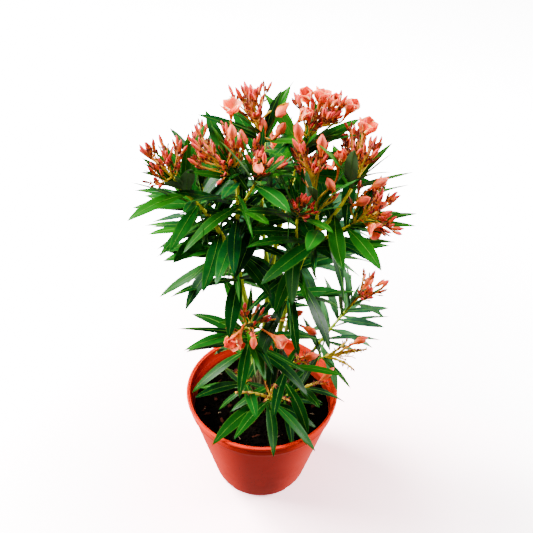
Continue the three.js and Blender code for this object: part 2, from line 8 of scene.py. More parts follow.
import bpy
import numpy as np
from bpy.props import FloatProperty, FloatVectorProperty, IntProperty, PointerProperty
from mathutils import Matrix, Vector

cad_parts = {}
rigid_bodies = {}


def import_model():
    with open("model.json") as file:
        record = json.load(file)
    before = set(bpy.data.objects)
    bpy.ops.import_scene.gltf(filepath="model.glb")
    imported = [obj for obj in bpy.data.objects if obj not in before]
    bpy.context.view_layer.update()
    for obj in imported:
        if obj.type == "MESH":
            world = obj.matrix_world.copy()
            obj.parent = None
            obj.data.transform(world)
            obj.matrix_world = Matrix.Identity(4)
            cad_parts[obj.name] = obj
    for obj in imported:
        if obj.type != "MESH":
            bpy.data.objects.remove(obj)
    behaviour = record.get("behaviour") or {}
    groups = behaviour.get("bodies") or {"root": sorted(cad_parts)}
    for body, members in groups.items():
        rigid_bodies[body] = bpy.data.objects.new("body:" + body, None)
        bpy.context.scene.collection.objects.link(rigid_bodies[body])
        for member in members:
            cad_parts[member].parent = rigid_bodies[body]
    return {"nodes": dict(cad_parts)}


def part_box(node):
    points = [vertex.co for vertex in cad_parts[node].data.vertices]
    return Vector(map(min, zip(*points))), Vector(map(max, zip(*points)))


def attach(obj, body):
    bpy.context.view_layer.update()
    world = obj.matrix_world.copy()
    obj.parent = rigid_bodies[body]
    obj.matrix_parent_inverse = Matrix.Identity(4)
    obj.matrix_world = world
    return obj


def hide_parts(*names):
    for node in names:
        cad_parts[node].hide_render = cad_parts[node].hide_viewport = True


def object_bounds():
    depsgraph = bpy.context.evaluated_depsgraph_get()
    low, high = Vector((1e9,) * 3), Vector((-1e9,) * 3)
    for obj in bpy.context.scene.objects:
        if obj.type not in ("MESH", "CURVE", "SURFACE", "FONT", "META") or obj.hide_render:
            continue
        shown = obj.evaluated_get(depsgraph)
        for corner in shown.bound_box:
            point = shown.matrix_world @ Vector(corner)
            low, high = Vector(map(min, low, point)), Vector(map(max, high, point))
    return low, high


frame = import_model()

CAD_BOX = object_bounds()

bl_info = {
    "name": "Potted Oleander",
    "version": (1, 0, 0),
    "blender": (4, 5, 0),
    "location": "View3D > Sidebar > Oleander",
    "description": "Grows a flowering oleander in a nursery pot over its solids",
    "category": "Add Mesh",
}

MM = 0.001
DEGREE = math.pi / 180
UP = np.array([0.0, 0.0, 1.0])
GAP = 0.32  # millimetres between the solids

# Driving sizes of the growth rule, the same as in the solids. Ranges of random draws are given as the
# number of the draw, its least and its greatest value.
LEAF = dict(
    per_whorl=3, whorl_turn=60, lowest_whorl=0.06, lowest_inside=0.45, crowding=0.85, half_width=0.096,
    highest_base=0.995, top_share=0.9, sag_shares=(1.25, 0.75),
)
LEAF_DRAWS = dict(
    turn=(1, -12, 12), lean=(2, -9, 9), length=(3, 0.86, 1.08), width=(4, 0.9, 1.1), sag=(5, 0.6, 1.5),
    roll=(6, -22, 22),
)
LEAF_TRIES = ((0, 0), (14, 0), (-14, 0), (0, 12), (0, -12), (26, 0), (-26, 0), (16, 14), (-16, 14))
BLOOM = dict(length=27, tip=0.98, ray_share=0.72)
LEADING_BUD = 20  # length in millimetres
RAY = dict(middle_lean=0.25, lift=0.12)
RAY_DRAWS = dict(turn=(1, -20, 20), lean=(2, 0.55, 1.15), length=(3, 0.5, 0.7), bud=(4, 0.8, 1.15))
STEM_FLARE = dict(share=1.35, height=16)
MATCH = 0.05  # millimetres within which a tip is taken to be a corner of the solids

# Whole numbers that keep the random draws of the kinds of pieces apart
RAY_KEY = 50
SECOND_RAY_KEY = 70
TWIGLET_KEY = 200
YOUNG_KEY = 250
FILLING_KEY = 400
CROSSING_KEY = 500
OUTWARD_KEY = 560
BLOOM_KEY = 600
REACHING_KEY = 640
SPENT_KEY = 700
BARK_KEY = 900

# Main stems and their side shoots. A shoot runs from its foot, or from the share `at` of the shoot
# that it grows `on` or `inside`, over `via` to `tip`, and carries no leaves below the share `bare`.
# `spread` is how far leaves lean from the shoot at its lowest and highest whorl, in degrees. The flower
# head has a stalk along its axis, rays of a reach, the first of which are to carry blooms, a width in
# degrees over which the rays spread, and the turn of the first one.
SHOOTS = (
    dict(
        name="left", foot=(-14, 8), via=(-10, -6, 470), tip=(-101, -30, 573), bare=0.46,
        radii=(5, 2.3), whorls=6, turn=88, leaf=98, spread=(100, 55), sag=28,
        head=dict(axis=(-0.5, -0.05, 0.85), stalk=30, rays=6, reach=54, blooms=0, width=58, turn=15),
    ),
    dict(
        name="centre_left", on="left", at=0.5, via=(-38, -22, 490), tip=(-36, -38, 598), bare=0.3,
        radii=(3.1, 2.1), whorls=4, turn=8, leaf=104, spread=(95, 45), sag=28,
        head=dict(axis=(-0.6, -0.02, 0.8), stalk=14, rays=7, reach=66, blooms=3, width=55, turn=30),
    ),
    dict(
        name="front_top", inside="centre_left", at=0.72, via=(-30, -46, 572), tip=(-15, -58, 608),
        radii=(2.1, 1.7), whorls=2, turn=48, leaf=96, spread=(85, 50), sag=28,
        head=dict(axis=(0.25, -0.1, 0.95), stalk=12, rays=4, reach=44, blooms=1, width=55, turn=0),
    ),
    dict(
        name="centre", foot=(2, 14), via=(-8, 18, 420), tip=(43, -8, 628), bare=0.5,
        radii=(5.2, 2.3), whorls=5, turn=88, leaf=104, spread=(70, 52), sag=32,
        head=dict(axis=(0.4, 0.2, 0.9), stalk=26, rays=7, reach=54, blooms=5, width=52, turn=10),
    ),
    dict(
        name="top", on="centre", at=0.5, via=(-14, 24, 520), tip=(-5, 14, 625), bare=0.4,
        radii=(3, 2.1), whorls=4, turn=72, leaf=106, spread=(88, 48), sag=22,
        head=dict(axis=(-0.35, 0.05, 0.94), stalk=22, rays=7, reach=62, blooms=2, width=40, turn=40),
    ),
    dict(
        name="right", foot=(14, 2), via=(20, -2, 390), tip=(66, -60, 546), bare=0.5,
        radii=(5, 2.4), whorls=5, turn=72, leaf=108, spread=(100, 50), sag=34,
        head=dict(axis=(-0.15, 0.12, 0.97), stalk=70, rays=5, reach=48, blooms=2, width=58, turn=20),
    ),
    dict(
        name="right_high", on="right", at=0.96, via=(88, -60, 572), tip=(102, -46, 598), bare=0.4,
        radii=(2.3, 2), whorls=2, turn=104, leaf=92, spread=(90, 50), sag=12,
        head=dict(axis=(0.15, 0.3, 0.94), stalk=14, rays=7, reach=74, blooms=3, width=42, turn=20),
    ),
    dict(
        name="right_low", on="right", at=0.88, via=(80, -70, 545), tip=(98, -68, 556), bare=0.4,
        radii=(2.3, 2), whorls=2, turn=32, leaf=104, spread=(90, 65), sag=26,
        head=dict(axis=(0.85, 0.1, 0.5), stalk=24, rays=6, reach=58, blooms=3, width=60, turn=0),
    ),
    dict(
        name="inner", inside="right", at=0.8, via=(36, -52, 520), tip=(38, -66, 566),
        radii=(1.9, 1.6), whorls=2, turn=72, leaf=90, spread=(85, 50), sag=28,
        head=dict(axis=(0, -0.3, 0.9), stalk=8, rays=3, reach=20, blooms=0, width=50, turn=0),
    ),
    dict(
        name="low_right", foot=(26, 16), via=(90, 50, 240), tip=(127, 70, 286), bare=0.5,
        radii=(3.2, 1.9), whorls=4, turn=112, leaf=80, spread=(95, 40), sag=20,
        head=dict(axis=(0.55, 0.05, 0.85), stalk=34, rays=6, reach=56, blooms=2, width=45, turn=0),
    ),
    dict(
        name="low_side", on="low_right", at=0.35, via=(72, 22, 212), tip=(92, 24, 230), bare=0.5,
        radii=(2.2, 1.7), whorls=1, turn=96, leaf=70, spread=(80, 70), sag=28,
        head=dict(axis=(0.95, 0.05, 0.25), stalk=18, rays=4, reach=56, blooms=1, width=40, turn=0),
    ),
    dict(
        name="low_front", foot=(-4, -8), via=(-14, -20, 270), tip=(-22, -45, 350), bare=0.5,
        radii=(3.4, 2), whorls=4, turn=80, leaf=106, spread=(95, 70), sag=40,
        head=dict(axis=(0.05, -0.25, 0.95), stalk=14, rays=6, reach=52, blooms=4, width=75, turn=0),
    ),
    dict(
        name="low_middle", foot=(28, -9), via=(30, -22, 220), tip=(38, -35, 270), bare=0.55,
        radii=(3, 1.9), whorls=2, turn=8, leaf=96, spread=(90, 72), sag=34,
        head=dict(axis=(0.7, -0.1, 0.7), stalk=20, rays=3, reach=30, blooms=2, width=50, turn=0),
    ),
    dict(
        name="front_right", foot=(14, -22), via=(32, -26, 192), tip=(58, -30, 216), bare=0.45,
        radii=(2.8, 1.8), whorls=2, turn=0, leaf=86, spread=(68, 45), sag=32,
        head=dict(axis=(0.9, 0.1, 0.4), stalk=26, rays=2, reach=34, blooms=1, width=25, turn=0),
    ),
    dict(
        name="front", foot=(2, -18), via=(2, -38, 200), tip=(12, -58, 221), bare=0.5,
        radii=(3.2, 2.2), whorls=3, turn=40, leaf=106, spread=(62, 60), sag=34,
        head=dict(axis=(0, -0.1, 0.95), stalk=10, rays=5, reach=34, blooms=0, width=75, turn=0),
    ),
    dict(
        name="front_left", foot=(-15, -12), via=(-17, -30, 205), tip=(-24, -45, 241), bare=0.55,
        radii=(3, 1.9), whorls=2, turn=56, leaf=104, spread=(105, 42), sag=30,
        head=dict(axis=(-0.3, 0, 0.95), stalk=8, rays=3, reach=26, blooms=0, width=65, turn=0),
    ),
    dict(
        name="back_left", foot=(-13, 24), via=(-40, 44, 420), tip=(-88, 36, 532), bare=0.55,
        radii=(3.8, 2), whorls=4, turn=0, leaf=104, spread=(62, 30), sag=24,
        head=dict(axis=(0.05, 0, 1), stalk=40, rays=5, reach=54, blooms=0, width=50, turn=0),
    ),
    dict(
        name="back", foot=(1, 29), via=(4, 80, 400), tip=(14, 98, 515), bare=0.55,
        radii=(3.6, 2), whorls=4, turn=8, leaf=108, spread=(86, 50), sag=28,
        head=dict(axis=(0, 0.3, 0.9), stalk=18, rays=5, reach=44, blooms=1, width=52, turn=0),
    ),
    dict(
        name="back_right", foot=(16, 24), via=(50, 60, 370), tip=(78, 78, 492), bare=0.55,
        radii=(3.6, 2), whorls=4, turn=0, leaf=102, spread=(95, 40), sag=34,
        head=dict(axis=(0.3, 0.3, 0.9), stalk=18, rays=5, reach=44, blooms=1, width=52, turn=0),
    ),
    dict(
        name="low_back", foot=(-8, 40), via=(-4, 84, 220), tip=(6, 114, 285), bare=0.5,
        radii=(3, 1.9), whorls=3, turn=32, leaf=98, spread=(112, 60), sag=28,
    ),
)

# Leaves that reach out of the crown to the left and right: the shoot, their direction, their number and
# the shares of the shoot between which they stand
OUTWARD_LEAVES = (
    ("left", (-1, 0.15, 0.05), 4, (0.6, 0.98)),
    ("back_left", (-1, 0.1, -0.1), 6, (0.61, 0.95)),
    ("right", (1, 0.2, 0), 3, (0.56, 0.9)),
    ("right_low", (1, 0.1, -0.1), 1, (0.46, 0.98)),
    ("back_right", (1, 0.2, 0), 5, (0.61, 0.98)),
    ("low_right", (1, -0.1, 0), 1, (0.56, 0.98)),
)

# Single leaves that stand out of the crown: the shoot, the share of it where they grow, and their tip
REACHING_LEAVES = (
    ("left", 0.5, (-125, -60, 426)),
    ("left", 0.62, (-144, -40, 407)),
    ("left", 0.85, (-172, 0, 522)),
    ("left", 0.75, (-166, 20, 484)),
    ("left", 0.66, (-141, 0, 463)),
    ("left", 0.97, (-153, -25, 621)),
    ("left", 0.92, (-135, -35, 636)),
    ("left", 0.98, (-105, -40, 662)),
    ("left", 0.9, (-168, -30, 588)),
    ("centre_left", 0.95, (-66, -40, 677)),
    ("low_front", 0.95, (-118, -60, 367)),
    ("low_front", 0.85, (-106, -80, 342)),
    ("right_low", 0.5, (190, -30, 552)),
    ("right_high", 0.6, (180, 0, 575)),
    ("right", 0.9, (164, -50, 521)),
    ("right", 0.95, (143, -100, 521)),
    ("right", 0.53, (135, 10, 382)),
    ("top", 1.0, (29, 40, 695)),
    ("top", 0.98, (19, 30, 689)),
    ("top", 0.96, (-23, 10, 694)),
    ("centre", 0.96, (100, -10, 660)),
    ("low_front", 0.9, (-109, -60, 321)),
    ("low_right", 0.75, (193, 50, 297)),
    ("low_right", 0.6, (183, 40, 256)),
    ("front_left", 0.86, (-98, -9, 188)),
    ("front_left", 0.82, (-66, -46, 180)),
    ("front", 0.8, (-55, -92, 180)),
    ("front", 0.9, (-33, -90, 186)),
    ("front", 0.93, (23, -98, 184)),
    ("front", 0.84, (69, -107, 178)),
    ("front_right", 0.8, (95, -35, 190)),
)

# Flowers that are out on the front heads: the head, how far it has opened, its foot and its axis
BLOOMS = (
    ("centre_left", "wide", (-44, -26, 673), (0.0, -0.1, 1.0)),
    ("centre_left", "furled", (-42, -46, 654), (0.0, 0.0, 1.0)),
    ("centre_left", "furled", (-29, -44, 642), (-0.1, 0.3, 1.0)),
    ("front_top", "furled", (-16, -62, 646), (0.3, -1.0, 0.1)),
    ("top", "furled", (-5, 4, 633), (-0.1, 0.3, 0.9)),
    ("top", "furled", (7, 0, 637), (0.4, -0.3, 0.9)),
    ("top", "furled", (23, 8, 681), (-0.4, -0.9, 0.0)),
    ("centre", "bell", (31, -12, 664), (0.5, -0.3, 0.8)),
    ("centre", "bell", (48, 4, 677), (-0.2, -0.3, 0.9)),
    ("centre", "wide", (58, 2, 673), (0.2, 0.1, 1.0)),
    ("centre", "bell", (69, 4, 674), (0.3, -0.4, 0.9)),
    ("centre", "bell", (90, 6, 663), (0.3, -0.3, 0.9)),
    ("right", "furled", (39, -40, 650), (-0.2, 0.1, 1.0)),
    ("right", "furled", (62, -52, 644), (0.0, 0.1, 1.0)),
    ("right", "bell", (84, -50, 620), (0.0, 0.1, 1.0)),
    ("right", "furled", (82, -62, 599), (-0.4, -0.1, 0.9)),
    ("right_high", "wide", (110, -30, 650), (0.2, 0.0, 1.0)),
    ("right_low", "furled", (120, -62, 608), (0.7, -0.2, 0.7)),
    ("right_low", "furled", (103, -64, 585), (0.6, -0.4, 0.7)),
    ("right_low", "furled", (121, -60, 574), (0.7, -0.2, 0.6)),
    ("right_low", "wide", (116, -74, 571), (0.6, -0.8, 0.0)),
    ("low_front", "tulip", (-27, -62, 378), (-0.4, -0.9, -0.2)),
    ("low_front", "tulip", (5, -64, 369), (0.8, -0.6, -0.1)),
    ("low_front", "furled", (-13, -70, 373), (0.0, -1.0, -0.1)),
    ("low_front", "furled", (51, -44, 365), (0.8, -0.6, 0.0)),
    ("low_front", "furled", (31, -46, 381), (0.8, -0.2, 0.6)),
    ("low_middle", "furled", (52, -38, 291), (1.0, 0.1, 0.2)),
    ("low_right", "tulip", (140, 66, 315), (0.7, 0.4, 0.6)),
    ("low_right", "furled", (149, 66, 334), (0.5, 0.5, 0.7)),
    ("low_side", "furled", (133, 24, 258), (0.9, 0.2, 0.4)),
    ("front_right", "furled", (86, -36, 239), (0.7, 0.5, 0.5)),
)
OPENNESS = dict(bell=(0.06, 0.20), tulip=(0.22, 0.38), wide=(0.36, 0.50))
GAIN = dict(furled=1.1, bell=1.05, tulip=1.15, wide=1.08)  # size of each kind beside a plain one

# Low shoots whose heads have flowered: their rays carry scars and a few small buds
SPENT_HEADS = ("front", "front_left", "front_right", "low_middle", "low_side")

# Long bare twigs of those heads: the head and the end of the twig
SPENT_TWIGS = (
    ("front", (-38, -84, 265)),
    ("front", (39, -82, 249)),
    ("front", (19, -74, 273)),
    ("front_left", (-39, -50, 272)),
    ("front_right", (84, -38, 240)),
    ("low_middle", (50, -42, 300)),
    ("low_side", (162, 26, 249)),
    ("low_side", (144, 14, 214)),
    ("low_side", (130, 30, 264)),
)


# Growth rule

def chance(*keys):
    """Repeatable random share between 0 and 1 for a list of whole numbers."""
    mixed = 2166136261
    for key in keys:
        mixed = ((mixed ^ (int(key) & 0xFFFFFFFF)) * 16777619) & 0xFFFFFFFF
        mixed ^= mixed >> 13
    mixed = ((mixed ^ (mixed >> 16)) * 0x45D9F3B) & 0xFFFFFFFF
    mixed ^= mixed >> 15
    mixed = (mixed * 0x2C1B3C6D) & 0xFFFFFFFF
    return ((mixed ^ (mixed >> 16)) & 0xFFFFFFFF) / 4294967296


def between(low, high, *keys):
    return low + (high - low) * chance(*keys)


def mix(a, b, t):
    return a + (b - a) * t


def vector(values):
    return np.array(values, float)


def unit(vectors):
    return vectors / np.linalg.norm(vectors, axis=-1, keepdims=True)


def column(entries, name):
    """One value of every entry, as an array."""
    return np.array([entry[name] for entry in entries])


def drawn(entries, number, low, high):
    """One random value for every entry, as an array."""
    return np.array([between(low, high, *entry["keys"], number) for entry in entries])


def draws(ranges, keys):
    """Random values by name. A range is the number of the draw, its least and its greatest value."""
    return {name: between(low, high, *keys, number) for name, (number, low, high) in ranges.items()}


def even_turns(count):
    return 2 * math.pi * np.arange(count) / count


def towards(a, b, angle):
    """Unit vectors at an angle from a towards b, which is square to it."""
    return a * np.cos(angle)[..., None] + b * np.sin(angle)[..., None]


def quadratic(start, middle, end, t):
    """Place at the share t of the curve that leaves `start` towards `middle` and ends at `end`."""
    return start * (1 - t) ** 2 + middle * 2 * t * (1 - t) + end * t ** 2


def arc(rise, sag, length, share=1):
    """How far out and up an arc has come at a share of its length. It starts at `rise` above the level
    and turns down by `sag`, both in radians."""
    slope = rise - sag * share
    return (np.sin(rise) - np.sin(slope)) * length / sag, (np.cos(slope) - np.cos(rise)) * length / sag


def sideways(direction):
    """Two unit vectors square to a direction and to each other, the first one also square to Y, or to X
    where the direction is close to Y."""
    helper = vector((0, 1, 0)) if abs(direction[1]) < 0.9 else vector((1, 0, 0))
    first = unit(np.cross(direction, helper))
    return first, np.cross(direction, first)


def leaning(axis, lean, turn):
    """Direction that leans from an axis by `lean`, towards `turn` about it, both in degrees."""
    a, b = sideways(axis)
    sideward = a * math.cos(turn * DEGREE) + b * math.sin(turn * DEGREE)
    return axis * math.cos(lean * DEGREE) + sideward * math.sin(lean * DEGREE)


class Shoot:
    """Quadratic curve from a foot over `via` to a tip, with its radius, its whorls and its flower head."""

    def __init__(self, number, row, shoots, soil_top):
        self.number = number
        self.name = row["name"]
        self.parent = shoots.get(row.get("on", row.get("inside")))
        self.inside = row.get("inside")
        self.start = self.parent.place(row["at"]) if self.parent else vector((*row["foot"], soil_top + GAP))
        self.via = vector(row["via"])
        self.tip = vector(row["tip"])
        self.bare = row.get("bare", 0)
        self.radii = row["radii"]
        self.whorls = row["whorls"]
        self.turn = row["turn"]
        self.leaf = row["leaf"]
        self.spread = row["spread"]
        self.sag = row["sag"]
        self.head = row.get("head")
        self.axis = unit(vector(self.head["axis"])) if self.head else None
        self.spent = self.name in SPENT_HEADS
        steps = self.place(np.linspace(0, 1, 200)[:, None])
        self.length = np.linalg.norm(np.diff(steps, axis=0), axis=1).sum()

    def place(self, t):
        return quadratic(self.start, self.via, self.tip, t)

    def on_stalk(self, distance):
        """Place on the straight stalk of the head, at a distance from the shoot's tip."""
        return self.tip + self.axis * distance

    def heading(self, t):
        return unit((self.via - self.start) * (1 - t) + (self.tip - self.via) * t)

    def radius_at(self, t):
        plain = mix(*self.radii, np.clip(t, 0, 1))
        if self.parent:
            return plain
        rise = t * self.length / STEM_FLARE["height"]
        return plain * (1 + (STEM_FLARE["share"] - 1) * np.maximum(0, 1 - rise) ** 2)

    def whorl_places(self):
        if self.whorls == 1:
            return [1]
        lowest = self.bare + LEAF["lowest_whorl"] if self.bare > 0 else LEAF["lowest_inside"]
        shares = [(k / (self.whorls - 1)) ** LEAF["crowding"] for k in range(self.whorls)]
        return [mix(lowest, 1, share) for share in shares]

    def mass(self):
        """Name of the node whose solid holds this shoot's leaves."""
        return "foliage_" + (self.inside or self.name)


def grow_shoots(soil_top):
    shoots = {}
    for index, row in enumerate(SHOOTS):
        shoots[row["name"]] = Shoot(index + 1, row, shoots, soil_top)
    return shoots


def leaf_of(shoot, keys, base, direction, length, half, sag, roll, age):
    """A leaf by its base, its direction there, its length and half width in millimetres, its sag in
    radians, its roll in degrees and its age, which grows from 0 to about 1 up the shoot."""
    return dict(
        shoot=shoot, keys=keys, base=base, direction=direction, length=length, half=half, sag=sag,
        roll=roll * DEGREE, age=age,
    )


def plan_leaf(shoot, whorl, place, j, attempt):
    """Leaf j of a whorl, as the solids have it. An attempt turns and leans it out of the others' way."""
    keys = (shoot.number, whorl, j)
    height = whorl / (shoot.whorls - 1) if shoot.whorls > 1 else 1
    youngest = height == 1 and shoot.whorls > 1
    phase = shoot.turn + LEAF["whorl_turn"] * whorl + 360 / LEAF["per_whorl"] * j
    own = draws(LEAF_DRAWS, keys)
    lean = mix(*shoot.spread, height) + own["lean"] + attempt[1]
    length = shoot.leaf * own["length"] * (LEAF["top_share"] if youngest else 1)
    return leaf_of(
        shoot, keys,
        base=shoot.place(min(place, LEAF["highest_base"])),
        direction=leaning(shoot.heading(place), lean, phase + own["turn"] + attempt[0]),
        length=length,
        half=length * LEAF["half_width"] * own["width"],
        sag=shoot.sag * DEGREE * own["sag"] * mix(*LEAF["sag_shares"], height),
        roll=own["roll"],
        age=height,
    )


def leaf_tip(leaf):
    """End of a leaf's midrib, which is an arc."""
    rise = math.asin(max(-1, min(1, leaf["direction"][2])))
    out, up = arc(rise, leaf["sag"], leaf["length"])
    return leaf["base"] + unit(leaf["direction"] * vector((1, 1, 0))) * out + UP * up


def corners(node):
    """Corners of a solid in millimetres."""
    mesh = frame["nodes"][node].data
    points = np.empty(len(mesh.vertices) * 3, np.float32)
    mesh.vertices.foreach_get("co", points)
    return points.reshape(-1, 3).astype(float) / MM


def has_corner(points, place):
    return bool((((points - place) ** 2).sum(axis=1) < MATCH ** 2).any())


def grown_leaves(shoots):
    """Leaves of the rule that the solids hold, found by their tips."""
    for shoot in shoots.values():
        solid = corners(shoot.mass())
        for whorl, place in enumerate(shoot.whorl_places()):
            for j in range(LEAF["per_whorl"]):
                plans = (plan_leaf(shoot, whorl, place, j, attempt) for attempt in LEAF_TRIES)
                found = next((plan for plan in plans if has_corner(solid, leaf_tip(plan))), None)
                if found:
                    yield found


def ray_of(shoot, keys, hub, direction, length, lift, bud, is_open=False):
    """Ray of a flower head from its hub, and the length and direction of the bud that it ends in."""
    return dict(
        shoot=shoot, keys=keys, hub=hub, ray=direction, length=length, end=hub + direction * length,
        lead=unit(direction + UP * lift), size=LEADING_BUD * bud, is_open=is_open,
    )


def grown_rays(shoots):
    """Rays of the flower heads that the solids hold, found by the tips of their buds."""
    for shoot in shoots.values():
        if not shoot.head:
            continue
        solid = corners(shoot.mass())
        head = shoot.head
        for i in range(head["rays"]):
            keys = (shoot.number, RAY_KEY + i)
            own = draws(RAY_DRAWS, keys)
            turn = 360 * i / head["rays"] + head["turn"] + own["turn"]
            lean = head["width"] * own["lean"] * (RAY["middle_lean"] if i == 0 else 1)
            direction = unit(leaning(shoot.axis, lean, turn))
            is_open = 0 < i <= head["blooms"]
            length = head["reach"] * own["length"] * (BLOOM["ray_share"] if is_open else 1)
            hub = shoot.on_stalk(head["stalk"])
            ray = ray_of(shoot, keys, hub, direction, length, RAY["lift"], own["bud"], is_open)
            reach = BLOOM["length"] * BLOOM["tip"] if is_open else ray["size"]
            if has_corner(solid, ray["end"] + ray["lead"] * reach):
                yield ray


# Meshes

class Shell:
    """Gathers closed surfaces into one mesh.

    A surface is an array (copies, rings, sides, 3) in millimetres: rings of points in travel order,
    counterclockwise seen from ahead, joined ring to ring and closed to a middle point at both ends.
    """

    def __init__(self):
        self.points = []
        self.faces = []
        self.uvs = []
        self.kinds = []
        self.tints = []
        self.creases = []
        self.count = 0

    def add(self, rings, across=None, along=None, kinds=None, tint=0.5, creases=None):
        """`across` and `along` are the pattern places of the columns and rings, `kinds` the finish
        of each column of faces, and `creases` the columns whose edges stay sharp."""
        rings = np.asarray(rings, float)
        if rings.ndim == 3:
            rings = rings[None]
        copies, length, sides, _ = rings.shape
        across = np.linspace(0, 1, sides + 1) if across is None else np.asarray(across, float)
        along = np.linspace(0, 1, length) if along is None else np.asarray(along, float)
        kinds = np.zeros(sides, int) if kinds is None else np.asarray(kinds)
        crease = np.zeros(sides, bool)
        if creases is not None:
            crease[list(creases)] = True
        each = length * sides + 2
        points = np.concatenate([
            rings.reshape(copies, -1, 3), rings[:, :1].mean(axis=2), rings[:, -1:].mean(axis=2),
        ], axis=1)
        grid = np.arange(length * sides).reshape(length, sides)
        ahead = np.roll(grid, -1, axis=1)
        quads = np.stack([grid[:-1], ahead[:-1], ahead[1:], grid[1:]], axis=-1).reshape(-1, 4)
        first = np.full(sides, length * sides)
        near = np.stack([first, ahead[0], grid[0]], axis=-1)
        far = np.stack([first + 1, grid[-1], ahead[-1]], axis=-1)
        u0, v0 = np.meshgrid(across[:-1], along)
        u1, _ = np.meshgrid(across[1:], along)
        corners_u = np.stack([u0[:-1], u1[:-1], u1[1:], u0[1:]], axis=-1)
        corners_v = np.stack([v0[:-1], v0[:-1], v0[1:], v0[1:]], axis=-1)
        quad_uv = np.stack([corners_u, corners_v], axis=-1).reshape(-1, 2)
        middle = (across[:-1] + across[1:]) / 2
        near_u = np.stack([middle, across[1:], across[:-1]], axis=-1)
        far_u = np.stack([middle, across[:-1], across[1:]], axis=-1)
        near_uv = np.stack([near_u, np.full_like(near_u, along[0])], axis=-1).reshape(-1, 2)
        far_uv = np.stack([far_u, np.full_like(far_u, along[-1])], axis=-1).reshape(-1, 2)
        starts = self.count + each * np.arange(copies)
        self.points.append(points.reshape(-1, 3))
        for faces, uv, kind in (
            (quads, quad_uv, np.tile(kinds, length - 1)), (near, near_uv, kinds), (far, far_uv, kinds),
        ):
            self.faces.append((faces[None] + starts[:, None, None]).reshape(-1, faces.shape[1]))
            self.uvs.append(np.tile(uv, (copies, 1)))
            self.kinds.append(np.tile(kind, copies))
        self.tints.append(np.repeat(np.broadcast_to(np.asarray(tint, float), copies), each))
        marks = np.concatenate([np.tile(crease, length), [False, False]])
        self.creases.append(np.tile(marks, copies))
        self.count += copies * each

    def piece(self, name, finishes, slot, stands_for=(), crease_angle=None):
        """The mesh object of all the surfaces, riding on the plant's only body."""
        piece = self.loose(name, finishes, crease_angle)
        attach(piece, "root")
        if stands_for:
            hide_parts(*stands_for)

    def loose(self, name, finishes, crease_angle=None):
        """One mesh object of all the surfaces, in metres."""
        mesh = bpy.data.meshes.new(name)
        points = np.concatenate(self.points) * MM
        face_corners = np.concatenate([faces.ravel() for faces in self.faces])
        sizes = np.concatenate([np.full(len(faces), faces.shape[1]) for faces in self.faces])
        mesh.vertices.add(len(points))
        mesh.vertices.foreach_set("co", points.ravel())
        mesh.loops.add(len(face_corners))
        mesh.loops.foreach_set("vertex_index", face_corners)
        mesh.polygons.add(len(sizes))
        mesh.polygons.foreach_set("loop_start", np.cumsum(sizes) - sizes)
        mesh.polygons.foreach_set("material_index", np.concatenate(self.kinds))
        mesh.update(calc_edges=True)
        mesh.uv_layers.new(name="surface").data.foreach_set("uv", np.concatenate(self.uvs).ravel())
        tint = mesh.attributes.new("tint", "FLOAT", "POINT")
        tint.data.foreach_set("value", np.concatenate(self.tints))
        for finish in finishes:
            mesh.materials.append(finish)
        mesh.shade_smooth()
        if crease_angle is not None:
            mesh.set_sharp_from_angle(angle=crease_angle)
        marks = np.concatenate(self.creases)
        if marks.any():
            ends = np.empty(len(mesh.edges) * 2, np.int32)
            mesh.edges.foreach_get("vertices", ends)
            sharp = marks[ends.reshape(-1, 2)].all(axis=1)
            mesh.attributes.new("sharp_edge", "BOOLEAN", "EDGE").data.foreach_set("value", sharp)
        mesh.validate()
        piece = bpy.data.objects.new(name, mesh)
        bpy.context.scene.collection.objects.link(piece)
        return piece


def make_piece(name, finishes, slot, rings, stands_for=(), crease_angle=None, **how):
    """A piece of one array of surfaces."""
    shell = Shell()
    shell.add(rings, **how)
    shell.piece(name, finishes, slot, stands_for, crease_angle)


def smooth(low, high, values):
    t = np.clip((np.asarray(values, float) - low) / (high - low), 0, 1)
    return t * t * (3 - 2 * t)


def revolved(radii, heights, turns):
    """Rings of a half section turned about the vertical. Heights are one for each radius, or an array
    (radii, turns)."""
    x = radii[:, None] * np.cos(turns)
    y = radii[:, None] * np.sin(turns)
    heights = heights if heights.ndim == 2 else heights[:, None]
    return np.stack([x, y, np.broadcast_to(heights, x.shape)], axis=-1)


def carried(path, sides, radius):
    """Rings about a path (rings, 3): radius times the cosine and sine of the turn, along two
    directions square to the path that are carried on from ring to ring without twist. `radius` is
    one number, one per ring, or an array (rings, sides)."""
    forward = unit(np.gradient(path, axis=0))
    side = sideways(forward[0])[0]
    frames = []
    for direction in forward:
        side = unit(side - direction * (side @ direction))
        frames.append((side, np.cross(direction, side)))
    a, b = np.array(frames).transpose(1, 0, 2)
    radius = np.asarray(radius, float)
    radius = radius[:, None] if radius.ndim == 1 else radius
    wide = np.broadcast_to(radius, (len(path), sides))[..., None]
    return path[:, None] + wide * towards(a[:, None], b[:, None], even_turns(sides))


def spindles(roots, directions, lengths, widths, outline, sides, lobes=0, lobe_depth=0.0, twist=0.0):
    """Copies of a slim body along straight axes. Its radius is its width times `outline` of the share
    of its length, with lobes that wind round it: 1 + depth cos(lobes (turn - twist share))."""
    shares, profile = outline
    a, b = np.array([sideways(direction) for direction in directions]).transpose(1, 0, 2)
    turns = even_turns(sides)
    radius = profile[:, None] * (1 + lobe_depth * np.cos(lobes * (turns - twist * shares[:, None])))
    axis = roots[:, None] + directions[:, None] * lengths[:, None, None] * shares[:, None]
    radial = towards(a[:, None, None], b[:, None, None], turns)
    return axis[:, :, None] + radial * (widths[:, None, None] * radius)[..., None]


